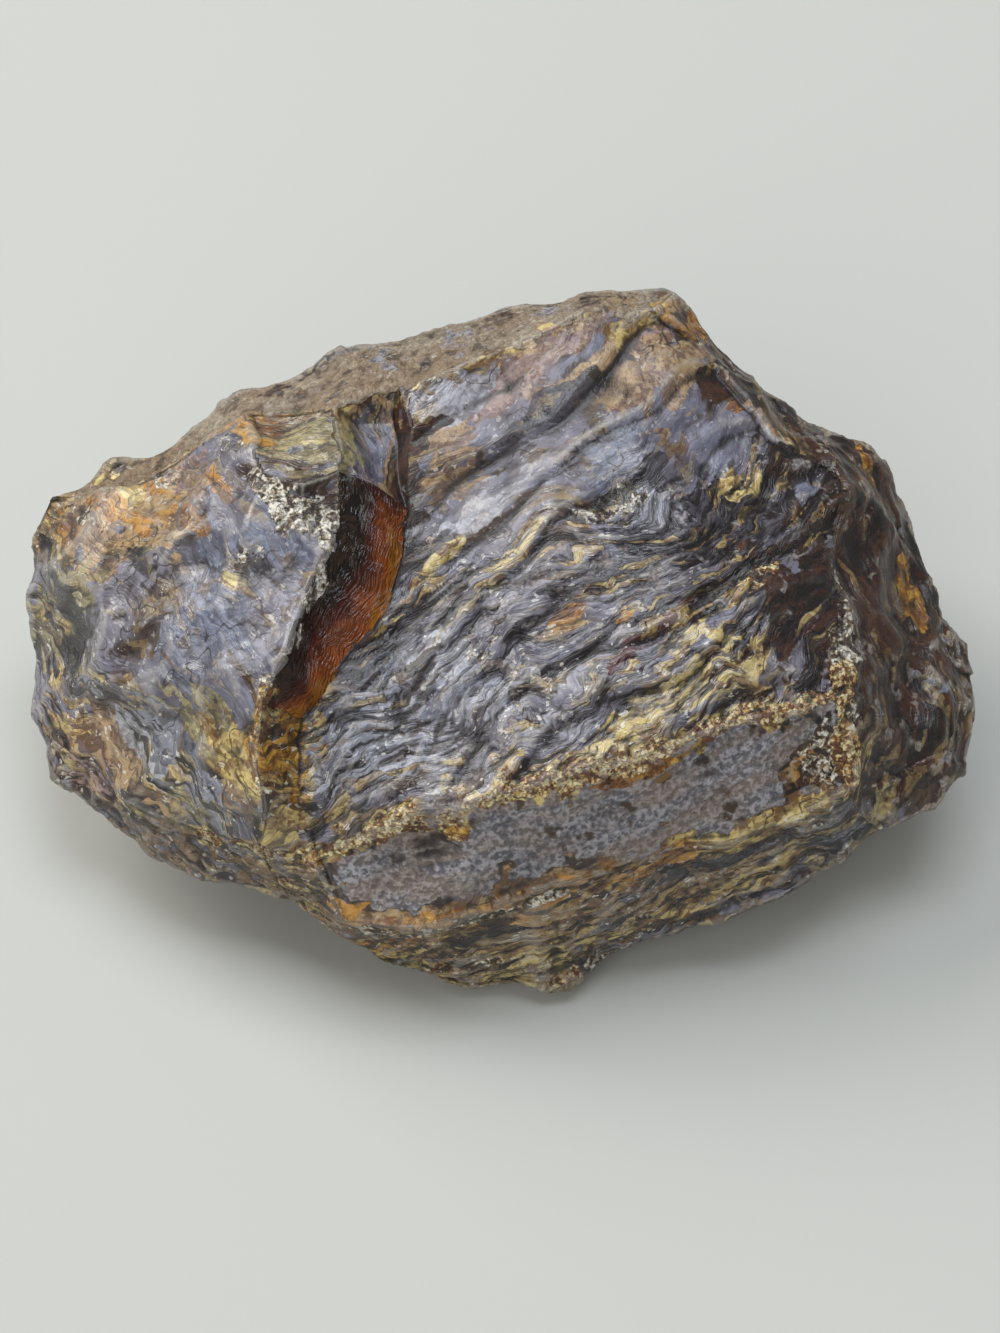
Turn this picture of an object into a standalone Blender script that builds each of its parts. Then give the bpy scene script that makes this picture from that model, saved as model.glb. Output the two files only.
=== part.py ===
"""A lump of raw amber, 110 mm wide, as one closed solid standing on its own flat foot.

The lump is drawn as a cage of named corners and the faces between them, in millimetres.
Each face is split into small triangles, the broad faces are softened, and the scoops, lumps
and flow steps of the broken amber are then raised along the surface normals, while slow noise
bends the edges out of line.
"""
import bmesh
import bpy
import numpy as np

MM = 0.001

# Driving dimensions of the surface, in millimetres.
LONGEST_EDGE = 3.1          # an edge longer than this is halved
SPLIT_ROUNDS = 3
SCOOP_SIZE = 10.0           # distance between the large shallow scoops
SMALL_SCOOP_SIZE = 5.0      # distance between the small ones
LUMP_SIZE = 13.0            # wavelength of the soft lumps
FLOW_STEP = 7.0             # distance from one flow step of the broken face to the next
FLOW_ANGLE = 35.0           # degrees from +X to +Y that the flow steps run along
FLOW_WARP = 9.0             # how far a flow step wanders from a straight line
BEND_SIZE = 9.0             # wavelength of the bends in the edges
BEND_DEPTH = 1.8            # how far they go
GROUND_GAP = 0.35           # the least height of the underside outside the foot
CENTRE = (0.08, 0.1)        # X and Y of the middle of the finished lump's box, moved to 0

# Corners of the cage. The lump stands on z = 0, -Y is its front and +X its right.
CORNERS = {
    # the widest outline, clockwise seen from above, from the left end round the back
    "o": [
        (-55.5, 5, 21), (-54.5, 10, 26), (-52, 13, 30), (-45, 12.5, 34), (-36, 15.5, 38),
        (-29, 18.5, 41), (-17.5, 22, 44), (-6.5, 25, 46), (4, 27.5, 47.5), (14.5, 29.5, 48),
        (20, 29.5, 47), (26.5, 25.5, 42.5), (31.5, 21.5, 39.5), (36.5, 18.5, 37),
        (41.5, 17.5, 34.5), (46.5, 17, 32), (49, 11.5, 28), (51.5, 3, 25), (52.5, -3.5, 23),
        (54, -18, 16), (50, -21, 14), (45, -23.5, 13), (40.5, -26.5, 12), (33.5, -31, 11),
        (25.5, -33, 9), (17.5, -34, 7), (12, -35.5, 4), (7, -37.5, 2), (-5, -36, 3),
        (-12.5, -35.5, 5), (-19.5, -34.5, 9), (-24, -31.5, 12), (-33.5, -29.5, 12),
        (-39.5, -25, 12), (-45.5, -20, 13), (-51, -16.5, 15), (-53.5, -8.5, 17), (-54, -1.5, 19),
    ],
    # the small knob that juts out at the right end
    "j": [(55, -3.5, 22), (55, -13, 18)],
    # the inner edge of the weathered crust
    "r": [
        (-42.5, 10, 34.5), (-34, 13, 38.5), (-27.5, 14, 42), (-17.5, 13, 46.5), (-10.5, 15.5, 46),
        (-3, 17.5, 48), (5.5, 20.5, 49), (13, 24.5, 49.5), (18.5, 26, 48.5),
    ],
    # the crest of the left block, down to where the block meets the front
    "b": [
        (-26.5, 8.5, 44.5), (-26, 2, 45), (-21.5, -2, 45.5), (-17, -2, 44.5), (-17.5, -6.5, 43.5),
        (-20.5, -13.5, 41.5), (-22.5, -18.5, 39.5), (-25, -24.5, 37), (-25.5, -30, 29.5),
    ],
    # the lip of the shell-like plate
    "s": [(-17.5, 1, 46.5), (-21.5, -1, 47)],
    # the notch between the plate and the broad face
    "n": [(-9.5, 8.5, 44), (-10, 2, 39.5), (-13.5, 2, 43.5)],
    # the flat floor of the notch
    "v": [(-15.5, 12.5, 44), (-11.5, 13.5, 43.5), (-11, 8, 41), (-14.5, 5, 42)],
    # the foot of the clear red ledge
    "q": [
        (-10.5, -4.5, 37), (-14, -12, 34), (-18.5, -17.5, 31.5), (-21.5, -21, 30.5),
        (-21.5, -29, 26.5),
    ],
    # the facets of the left block
    "c": [
        (-39.5, 3, 37), (-31.5, 2, 41.5), (-28.5, -7.5, 41.5), (-44, -3, 32), (-36, -9, 37),
        (-30, -15.5, 38), (-45, -12, 26.5), (-34.5, -19.5, 32.5), (-38.5, -22.5, 24),
        (-30.5, -28, 25.5), (-46, -16, 21.5),
    ],
    # the chipped rim under the left block
    "l": [(-50, -14.5, 17.5), (-42, -21.5, 18.5), (-32.5, -29, 19.5)],
    # the front rim of the broad face
    "m": [
        (-25.5, -31.5, 20), (-19.5, -33, 22), (-10.5, -32.5, 26), (-1.5, -31.5, 29.5),
        (7, -30, 31.5), (17, -28, 33), (28.5, -23.5, 34), (39, -19.5, 32.5),
    ],
    # the broad face
    "a": [
        (-1, 10.5, 44.5), (11, 13, 46.5), (21, 11, 44.5), (-3, 0, 40.5), (8.5, -1, 43),
        (18.5, 1, 42.5), (28.5, 5.5, 40.5), (-5, -10, 36.5), (7, -11, 39.5), (18, -10, 40),
        (28.5, -6.5, 39.5), (-10.5, -20, 31), (-0.5, -20, 34), (10.5, -20, 36.5),
        (21.5, -17.5, 37.5), (31.5, -13.5, 37.5),
    ],
    # the edge between the broad face and the dark right side
    "d": [
        (23.5, 22.5, 45), (29, 16, 42.5), (32, 12, 41), (39, 10.5, 38), (39, -2.5, 36.5),
        (39.5, -11, 34.5),
    ],
    # the dark right side
    "e": [(45, 3, 30.5), (47, -6, 27), (44.5, -15, 27), (51.5, -14.5, 21)],
    "h": [(46.5, -20.5, 22)],
    # the lower edge of the grey weathered face, from right to left
    "g": [
        (39.5, -26, 24.5), (34, -28, 22.5), (20.5, -31.5, 21), (7, -35, 19.5), (-7.5, -38, 15.5),
        (-16.5, -37.5, 15),
    ],
    # halfway down the back, from the left end to the right end
    "k": [
        (-50.5, 15, 17), (-37.5, 24, 20), (-19.5, 31, 24), (0.5, 36, 27), (20.5, 38, 27),
        (38.5, 28, 22), (49.5, 18, 18), (51.5, -2, 12),
    ],
    # the underside, round the foot from the front left, by the back, to the front right
    "u": [
        (-34.5, -19, 6), (-45.5, -3, 9), (-36.5, 14, 8), (-19.5, 23, 8), (0.5, 30, 9),
        (22.5, 28, 9), (40.5, 14, 8), (40.5, -12, 7),
    ],
    # the flat foot
    "w": [
        (5.5, -34.5, 0), (-4.5, -32.5, 0), (-14.5, -28, 0), (-23.5, -19, 0), (-27.5, -4, 0),
        (-19.5, 12, 0), (0.5, 20, 0), (18.5, 15, 0), (26.5, -1, 0), (24.5, -18, 0), (14.5, -29, 0),
    ],
}

# Faces of each region, corner by corner, anticlockwise seen from outside.
REGIONS = {
    "crust": """r0 o3 o2, r0 r1 o4 o3, r1 r2 o5 o4, r2 r3 o6 o5, r3 r4 o7 o6, r4 r5 r6 o8 o7,
        r6 r7 o9 o8, r7 r8 o10 o9""",
    "left_block": """o1 c3 c0 r0 o2, o0 o37 c6 c3 o1, c0 c1 r1 r0, c1 b0 r2 r1, c2 b1 b0 c1,
        c4 c2 c1 c0, c4 c0 c3, b4 b3 b2 b1 c2, c5 b5 b4 c2, c5 c2 c4, c7 b7 b6 b5 c5, c7 c5 c4,
        c6 c7 c4 c3, c10 c8 c7 c6, o36 c10 c6 o37, c8 c9 b8 b7 c7, l0 l1 c8 c10, l0 c10 o36,
        l1 l2 c9 c8, l2 m0 b8 c9""",
    "left_rim": "o35 l0 o36, o34 o33 l1 l0 o35, o33 o32 l2 l1, o32 o31 m0 l2",
    "plate": "b0 b1 s1 s0 r3 r2",
    "plate_step": "b2 s1 b1, b2 b3 s0 s1",
    "notch": "v3 v2 v1 v0, n2 n1 v2 v3, n1 n0 r4 v1 v2, v0 v1 r4 r3",
    "red_ledge": "s0 n2 v3 v0 r3, b3 n2 s0, b4 q0 n1 n2 b3, b5 q1 q0 b4, b6 q2 q1 b5, b7 q3 q2 b6",
    "ledge_end": "b8 q4 q3 b7, m0 m1 q4 b8",
    "broad_face": """n0 a0 r5 r4, a0 a1 r6 r5, a1 r7 r6, a1 a2 d0 r8 r7, a2 a6 d1 d0, a6 d2 d1,
        n1 a3 a0 n0, a3 a4 a1 a0, a4 a5 a2 a1, a5 a6 a2, q0 a7 a3 n1, a7 a8 a4 a3, a8 a9 a5 a4,
        a9 a10 a6 a5, a10 d4 d3 d2 a6, q1 a11 a7 q0, q2 q3 q4 a11 q1, a11 a12 a8 a7,
        a12 a13 a9 a8, a13 a14 a10 a9, a15 d5 d4 a10, a14 a15 a10, q4 m1 m2 a11, m2 m3 a12 a11,
        m3 m4 a13 a12, m4 m5 a14 a13, m5 m6 a15 a14, m6 m7 d5 a15""",
    "grey_face": """g5 g4 m2 m1, g4 g3 m3 m2, g3 m4 m3, g3 g2 m5 m4, g2 g1 m6 m5,
        g1 g0 m7 m6""",
    "front_base": """o31 o30 g5 m1 m0, o30 o29 o28 g4 g5, o28 o27 o26 g3 g4, o26 o25 o24 g2 g3,
        o24 o23 o22 g1 g2, o22 o21 g0 g1""",
    "right_side": """d0 o11 o10 r8, d1 o12 o11 d0, d2 o13 o12 d1, d3 o14 o13 d2,
        d4 e0 o16 o15 o14 d3, e1 o17 o16 e0, d5 e1 e0 d4, m7 e2 e1 d5, e2 e3 o18 o17 e1,
        e3 j1 j0 o18, h0 e3 e2 m7, h0 o19 j1 e3, o21 o20 o19 h0, g0 o21 h0 m7""",
    "back": """o0 o1 o2 k0, o2 o3 o4 k1 k0, o4 o5 o6 k2 k1, o6 o7 o8 k3 k2, o8 o9 o10 k4 k3,
        o10 o11 o12 o13 k5 k4, o13 o14 o15 k6 k5, o15 o16 o17 k6, o17 o18 j0 k7 k6,
        j0 j1 o19 k7""",
    "underside": """u1 o36 o37 o0 k0, u1 u0 o33 o34 o35 o36, u0 w3 o31 o32 o33, w3 w2 o29 o30 o31,
        w2 w1 o28 o29, w1 w0 o27 o28, w0 w10 o25 o26 o27, w10 w9 o23 o24 o25, w9 u7 o22 o23,
        u7 k7 o19 o20 o21 o22, u7 u6 k6 k7, u6 k5 k6, u6 u5 k4 k5, u5 u4 k3 k4, u4 u3 k2 k3,
        u3 u2 k1 k2, u2 u1 k0 k1, u1 w4 w3 u0, u2 w5 w4 u1, u3 w5 u2, u4 w6 w5 u3, u5 w7 w6 u4,
        u6 w8 w7 u5, u7 w9 w8 u6""",
    "foot": "w0 w1 w2 w3 w4 w5 w6 w7 w8 w9 w10",
}

# Relief of each region in millimetres: depth of the scoops, of the lumps and of the flow steps.
RELIEF = {
    "crust": (0.5, 0.4, 0.0),
    "left_block": (2.0, 0.25, 0.0),
    "left_rim": (1.6, 0.4, 0.0),
    "plate": (0.3, 0.2, 0.0),
    "plate_step": (0.2, 0.1, 0.0),
    "notch": (0.2, 0.1, 0.0),
    "red_ledge": (0.5, 0.2, 0.0),
    "ledge_end": (0.9, 0.3, 0.0),
    "broad_face": (0.7, 0.4, 0.6),
    "grey_face": (0.1, 0.3, 0.0),
    "front_base": (1.4, 0.4, 0.4),
    "right_side": (2.4, 0.3, 0.0),
    "back": (2.4, 0.8, 0.0),
    "underside": (2.0, 0.7, 0.0),
    "foot": (0.0, 0.0, 0.0),
}

SOFTENED = {"broad_face": 4, "back": 1, "underside": 1}    # rounds of smoothing inside a region


def hashed(cell, seed):
    """A number from 0 to 1 for each whole-number lattice point, always the same one."""
    mixed = cell[..., 0] * 73856093 + cell[..., 1] * 19349663 + cell[..., 2] * 83492791
    mixed = (mixed + seed * 2654435761) & 0xFFFFFFFF
    mixed = ((mixed ^ (mixed >> 16)) * 73244475) & 0xFFFFFFFF
    mixed = ((mixed ^ (mixed >> 16)) * 73244475) & 0xFFFFFFFF
    return ((mixed ^ (mixed >> 16)) & 0xFFFFFF) / 0xFFFFFF


def direction(cell, seed):
    """Three numbers from -1 to 1 for each lattice point."""
    return np.stack([hashed(cell, seed + axis) for axis in range(3)], -1) * 2 - 1


def noise(points, size, seed):
    """Gradient noise of wavelength size: random slopes at lattice points, smoothly joined."""
    place = points / size
    cell = np.floor(place).astype(np.int64)
    inside = place - cell
    fade = inside ** 3 * (inside * (inside * 6 - 15) + 10)
    total = np.zeros(len(points))
    for corner in np.ndindex(2, 2, 2):
        step = np.array(corner)
        weight = np.where(step == 1, fade, 1 - fade).prod(-1)
        slope = direction(cell + step, seed)
        total += weight * ((inside - step) * slope).sum(-1)
    return total


def scoops(points, size, seed):
    """Shallow scoops that meet in sharp ridges, as broken resin has: around each random
    centre lies a bowl tilted its own way, and the lowest bowl is the surface."""
    place = points / size
    cell = np.floor(place).astype(np.int64)
    lowest = np.full(len(points), np.inf)
    for corner in np.ndindex(3, 3, 3):
        there = cell + np.array(corner) - 1
        offset = place - there - 0.5 - 0.45 * direction(there, seed)
        bowl = 0.8 * (offset ** 2).sum(-1) + 0.45 * (offset * direction(there, seed + 7)).sum(-1)
        lowest = np.minimum(lowest, bowl + 0.5 * hashed(there, seed + 17))
    return lowest - 0.25


def flow_steps(points, seed):
    """Overlapping flow layers: the height drops slowly across the flow and climbs back at
    each step, and noise bends the steps out of line."""
    angle = np.radians(FLOW_ANGLE)
    across = points[:, 1] * np.cos(angle) - points[:, 0] * np.sin(angle)
    across = across + FLOW_WARP * noise(points, 17.0, seed)
    turn = across / FLOW_STEP
    part = turn - np.floor(turn)
    climb = np.clip(part / 0.2, 0, 1)
    drop = np.clip((1 - part) / 0.8, 0, 1)
    return np.minimum(climb, drop) - 0.5


def relief(points, depths):
    """Height in millimetres of the scoops, lumps and flow steps at each point."""
    large = scoops(points, SCOOP_SIZE, 11)
    small = scoops(points, SMALL_SCOOP_SIZE, 31)
    lumps = noise(points, LUMP_SIZE, 51) + 0.5 * noise(points, LUMP_SIZE / 2, 61)
    steps = flow_steps(points, 71)
    return depths[:, 0] * (large + 0.4 * small) + depths[:, 1] * lumps * 1.5 + depths[:, 2] * steps


def bends(points):
    """How far each point moves to bend the edges of the cage out of line: slow noise."""
    return BEND_DEPTH * np.stack([noise(points, BEND_SIZE, seed) for seed in (201, 211, 221)], -1)


def build_cage():
    """The cage as a mesh object in millimetres; a face's material index is its region."""
    names = []
    places = []
    for chain, corners in CORNERS.items():
        for number, corner in enumerate(corners):
            names.append(f"{chain}{number}")
            places.append(corner)
    faces = []
    region_of_face = []
    for region, text in enumerate(REGIONS.values()):
        for face in text.split(","):
            faces.append([names.index(name) for name in face.split()])
            region_of_face.append(region)
    mesh = bpy.data.meshes.new("cage")
    mesh.from_pydata(places, [], faces)
    mesh.polygons.foreach_set("material_index", region_of_face)
    cage = bpy.data.objects.new("cage", mesh)
    bpy.context.scene.collection.objects.link(cage)
    return cage


def quartered(cage):
    """A bmesh of the cage with a point added in the middle of each face and edge."""
    split = cage.modifiers.new("split", "SUBSURF")
    split.subdivision_type = "SIMPLE"
    split.levels = 1
    split.render_levels = 1
    seen = cage.evaluated_get(bpy.context.evaluated_depsgraph_get())
    surface = bmesh.new()
    surface.from_mesh(seen.to_mesh())
    seen.to_mesh_clear()
    bpy.data.objects.remove(cage)
    return surface


def split_long_edges(surface):
    """Halves the edges longer than LONGEST_EDGE, a fixed number of times."""
    bmesh.ops.triangulate(surface, faces=surface.faces[:])
    for _ in range(SPLIT_ROUNDS):
        too_long = [edge for edge in surface.edges if edge.calc_length() > LONGEST_EDGE]
        bmesh.ops.subdivide_edges(surface, edges=too_long, cuts=1)
        bmesh.ops.triangulate(surface, faces=surface.faces[:])


def soften(surface, region, rounds):
    """Smooths the points that lie wholly inside a region."""
    inner = []
    for vert in surface.verts:
        if all(face.material_index == region for face in vert.link_faces):
            inner.append(vert)
    for _ in range(rounds):
        bmesh.ops.smooth_vert(
            surface, verts=inner, factor=0.5, use_axis_x=True, use_axis_y=True, use_axis_z=True)


def raise_relief(surface, regions, foot):
    """Moves each point along its normal by the relief of the regions that meet there."""
    surface.normal_update()
    table = np.array([RELIEF[name] for name in regions])
    points = np.array([vert.co for vert in surface.verts])
    normals = np.array([vert.normal for vert in surface.verts])
    depths = np.array([
        table[[face.material_index for face in vert.link_faces]].mean(0) for vert in surface.verts])
    on_foot = np.array([
        any(face.material_index == foot for face in vert.link_faces) for vert in surface.verts])
    moved = points + normals * relief(points, depths)[:, None] + bends(points)
    points = np.where(on_foot[:, None], points, moved)
    points[:, 2] = np.where(on_foot, 0, np.maximum(points[:, 2], GROUND_GAP))
    for vert, point in zip(surface.verts, points):
        vert.co = point


def finish(surface, name, material):
    """The finished solid: in metres, centred over the origin, in one material."""
    for face in surface.faces:
        face.material_index = 0
        face.smooth = False
    bmesh.ops.translate(surface, verts=surface.verts, vec=(-CENTRE[0], -CENTRE[1], 0))
    bmesh.ops.scale(surface, verts=surface.verts, vec=(MM, MM, MM))
    bmesh.ops.recalc_face_normals(surface, faces=surface.faces)
    mesh = bpy.data.meshes.new(name)
    surface.to_mesh(mesh)
    surface.free()
    mesh.materials.append(material)
    solid = bpy.data.objects.new(name, mesh)
    bpy.context.scene.collection.objects.link(solid)
    return solid


def amber_material():
    """Dark, dull raw amber."""
    material = bpy.data.materials.new("raw_amber")
    material.use_nodes = True
    shader = material.node_tree.nodes["Principled BSDF"]
    shader.inputs["Base Color"].default_value = (0.17, 0.13, 0.11, 1.0)
    shader.inputs["Roughness"].default_value = 0.38
    shader.inputs["Metallic"].default_value = 0.0
    return material


def build_raw_amber():
    """The whole lump: one piece of amber with its crust, ledge and faces."""
    regions = list(REGIONS)
    foot = regions.index("foot")
    surface = quartered(build_cage())
    split_long_edges(surface)
    for region, rounds in SOFTENED.items():
        soften(surface, regions.index(region), rounds)
    raise_relief(surface, regions, foot)
    return finish(surface, "raw_amber", amber_material())


for leftover in list(bpy.data.objects):
    bpy.data.objects.remove(leftover)
build_raw_amber()
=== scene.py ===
import bpy
import numpy as np
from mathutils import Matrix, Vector


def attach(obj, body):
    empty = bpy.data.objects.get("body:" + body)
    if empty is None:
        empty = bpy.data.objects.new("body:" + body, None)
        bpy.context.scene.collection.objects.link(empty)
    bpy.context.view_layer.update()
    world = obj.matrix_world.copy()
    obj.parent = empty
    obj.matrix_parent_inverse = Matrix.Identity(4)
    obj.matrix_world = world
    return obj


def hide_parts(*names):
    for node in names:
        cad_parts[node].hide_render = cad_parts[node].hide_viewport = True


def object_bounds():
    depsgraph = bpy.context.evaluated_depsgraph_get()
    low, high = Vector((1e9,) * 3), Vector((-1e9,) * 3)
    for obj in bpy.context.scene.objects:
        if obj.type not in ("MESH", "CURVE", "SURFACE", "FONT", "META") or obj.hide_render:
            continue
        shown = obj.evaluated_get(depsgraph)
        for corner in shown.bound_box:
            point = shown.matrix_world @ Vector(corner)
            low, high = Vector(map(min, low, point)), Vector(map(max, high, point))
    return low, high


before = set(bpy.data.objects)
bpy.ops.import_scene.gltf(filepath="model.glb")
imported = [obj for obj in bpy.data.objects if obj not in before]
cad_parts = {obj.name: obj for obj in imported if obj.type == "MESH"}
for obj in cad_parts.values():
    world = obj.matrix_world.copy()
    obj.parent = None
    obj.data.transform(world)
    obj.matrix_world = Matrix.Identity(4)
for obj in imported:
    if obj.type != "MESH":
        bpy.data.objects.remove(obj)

CAD_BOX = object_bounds()
MM = 0.001
CELLS = 13                  # cells along each half edge of the cage
CENTRE = (0.08, 0.1)        # X and Y of the middle of the solid's box, moved to 0
GROUND_GAP = 0.35           # the least height of the underside outside the foot

# Driving dimensions of the relief.
SCOOP_SIZE = 10.0           # distance between the large shallow scoops
SMALL_SCOOP_SIZE = 5.0      # distance between the small ones
LUMP_SIZE = 13.0            # wavelength of the soft lumps
FLOW_STEP = 7.0             # distance from one flow step of the broad face to the next
FLOW_ANGLE = 35.0           # degrees from +X to +Y that the flow steps run along
FLOW_WARP = 9.0             # how far a flow step wanders from a straight line
SHEET_THICKNESS = 2.3       # from one sheet of the flow to the next; a leaf is half as thick
SPLINTER_SIZE = (3.8, 1.35, 2.0)    # along, across and out of the flow
CHIP_SIZE = 3.4             # size of the flat chips where no flow shows
CRUMB_SIZE = 1.1
BEND_SIZE = 9.0             # wavelength of the bends in the edges
BEND_DEPTH = 1.8            # how far they go
CENTRE_SPREAD = 0.45        # how far the middle of a scoop or chip strays in its lattice cell

# Random patterns: depth, wavelength and seed of each noise in them. Those with three
# wavelengths have one along, one across and one out of the flow.
PATTERNS = {
    # the relief
    "lumps": [(1.0, LUMP_SIZE, 51), (0.5, LUMP_SIZE / 2, 61)],
    "step_warp": [(FLOW_WARP, 17.0, 71)],
    "chip_warp": [(1.2, 5.0, 85)],
    "crumb_grain": [(0.4, 0.8, 125)],
    "grain": [(1.0, 0.9, 141), (0.6, 0.5, 143)],
    # the way the flow layers bend and run
    "flow_bends": [(7.0, 26.0, 101), (2.4, 11.0, 103), (0.95, 5.0, 105), (0.4, 2.3, 107)],
    "flow_shift": [(3.0, 12.0, 111)],
    # the edges of seams, patches, regions and crust, and the painted glow of the clear ledge
    "ragged": [(1.6, 3.4, 151), (0.8, 1.5, 153)],
    "broken": [(2.2, 6.5, 155)],
    "streaky": [(2.0, (5.0, 1.6, 1.6), 157), (1.0, (2.4, 0.8, 0.8), 159)],
    "torn_regions": [(0.5, 4.5, 301), (0.3, 1.8, 331)],
    "torn_crust": [(0.9, 5.0, 161), (0.5, 2.2, 163)],
    "hidden_crust": [(1.0, 17.0, 169)],
    "glow": [(0.3, 4.0, 165), (0.15, 1.5, 167)],
}

# Corners of the cage. The lump stands on z = 0, -Y is its front and +X its right.
CORNERS = {
    # the widest outline, clockwise seen from above, from the left end round the back
    "o": [
        (-55.5, 5, 21), (-54.5, 10, 26), (-52, 13, 30), (-45, 12.5, 34), (-36, 15.5, 38),
        (-29, 18.5, 41), (-17.5, 22, 44), (-6.5, 25, 46), (4, 27.5, 47.5), (14.5, 29.5, 48),
        (20, 29.5, 47), (26.5, 25.5, 42.5), (31.5, 21.5, 39.5), (36.5, 18.5, 37),
        (41.5, 17.5, 34.5), (46.5, 17, 32), (49, 11.5, 28), (51.5, 3, 25), (52.5, -3.5, 23),
        (54, -18, 16), (50, -21, 14), (45, -23.5, 13), (40.5, -26.5, 12), (33.5, -31, 11),
        (25.5, -33, 9), (17.5, -34, 7), (12, -35.5, 4), (7, -37.5, 2), (-5, -36, 3),
        (-12.5, -35.5, 5), (-19.5, -34.5, 9), (-24, -31.5, 12), (-33.5, -29.5, 12),
        (-39.5, -25, 12), (-45.5, -20, 13), (-51, -16.5, 15), (-53.5, -8.5, 17), (-54, -1.5, 19),
    ],
    # the small knob that juts out at the right end
    "j": [(55, -3.5, 22), (55, -13, 18)],
    # the inner edge of the weathered crust
    "r": [
        (-42.5, 10, 34.5), (-34, 13, 38.5), (-27.5, 14, 42), (-17.5, 13, 46.5), (-10.5, 15.5, 46),
        (-3, 17.5, 48), (5.5, 20.5, 49), (13, 24.5, 49.5), (18.5, 26, 48.5),
    ],
    # the crest of the left block, down to where the block meets the front
    "b": [
        (-26.5, 8.5, 44.5), (-26, 2, 45), (-21.5, -2, 45.5), (-17, -2, 44.5), (-17.5, -6.5, 43.5),
        (-20.5, -13.5, 41.5), (-22.5, -18.5, 39.5), (-25, -24.5, 37), (-25.5, -30, 29.5),
    ],
    # the lip of the shell-like plate
    "s": [(-17.5, 1, 46.5), (-21.5, -1, 47)],
    # the notch between the plate and the broad face
    "n": [(-9.5, 8.5, 44), (-10, 2, 39.5), (-13.5, 2, 43.5)],
    # the flat floor of the notch
    "v": [(-15.5, 12.5, 44), (-11.5, 13.5, 43.5), (-11, 8, 41), (-14.5, 5, 42)],
    # the foot of the clear red ledge
    "q": [
        (-10.5, -4.5, 37), (-14, -12, 34), (-18.5, -17.5, 31.5), (-21.5, -21, 30.5),
        (-21.5, -29, 26.5),
    ],
    # the facets of the left block
    "c": [
        (-39.5, 3, 37), (-31.5, 2, 41.5), (-28.5, -7.5, 41.5), (-44, -3, 32), (-36, -9, 37),
        (-30, -15.5, 38), (-45, -12, 26.5), (-34.5, -19.5, 32.5), (-38.5, -22.5, 24),
        (-30.5, -28, 25.5), (-46, -16, 21.5),
    ],
    # the chipped rim under the left block
    "l": [(-50, -14.5, 17.5), (-42, -21.5, 18.5), (-32.5, -29, 19.5)],
    # the front rim of the broad face
    "m": [
        (-25.5, -31.5, 20), (-19.5, -33, 22), (-10.5, -32.5, 26), (-1.5, -31.5, 29.5),
        (7, -30, 31.5), (17, -28, 33), (28.5, -23.5, 34), (39, -19.5, 32.5),
    ],
    # the broad face
    "a": [
        (-1, 10.5, 44.5), (11, 13, 46.5), (21, 11, 44.5), (-3, 0, 40.5), (8.5, -1, 43),
        (18.5, 1, 42.5), (28.5, 5.5, 40.5), (-5, -10, 36.5), (7, -11, 39.5), (18, -10, 40),
        (28.5, -6.5, 39.5), (-10.5, -20, 31), (-0.5, -20, 34), (10.5, -20, 36.5),
        (21.5, -17.5, 37.5), (31.5, -13.5, 37.5),
    ],
    # the edge between the broad face and the dark right side
    "d": [
        (23.5, 22.5, 45), (29, 16, 42.5), (32, 12, 41), (39, 10.5, 38), (39, -2.5, 36.5),
        (39.5, -11, 34.5),
    ],
    # the dark right side
    "e": [(45, 3, 30.5), (47, -6, 27), (44.5, -15, 27), (51.5, -14.5, 21)],
    "h": [(46.5, -20.5, 22)],
    # the lower edge of the grey weathered face, from right to left
    "g": [
        (39.5, -26, 24.5), (34, -28, 22.5), (20.5, -31.5, 21), (7, -35, 19.5), (-7.5, -38, 15.5),
        (-16.5, -37.5, 15),
    ],
    # halfway down the back, from the left end to the right end
    "k": [
        (-50.5, 15, 17), (-37.5, 24, 20), (-19.5, 31, 24), (0.5, 36, 27), (20.5, 38, 27),
        (38.5, 28, 22), (49.5, 18, 18), (51.5, -2, 12),
    ],
    # the underside, round the foot from the front left, by the back, to the front right
    "u": [
        (-34.5, -19, 6), (-45.5, -3, 9), (-36.5, 14, 8), (-19.5, 23, 8), (0.5, 30, 9),
        (22.5, 28, 9), (40.5, 14, 8), (40.5, -12, 7),
    ],
    # the flat foot
    "w": [
        (5.5, -34.5, 0), (-4.5, -32.5, 0), (-14.5, -28, 0), (-23.5, -19, 0), (-27.5, -4, 0),
        (-19.5, 12, 0), (0.5, 20, 0), (18.5, 15, 0), (26.5, -1, 0), (24.5, -18, 0), (14.5, -29, 0),
    ],
}

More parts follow.
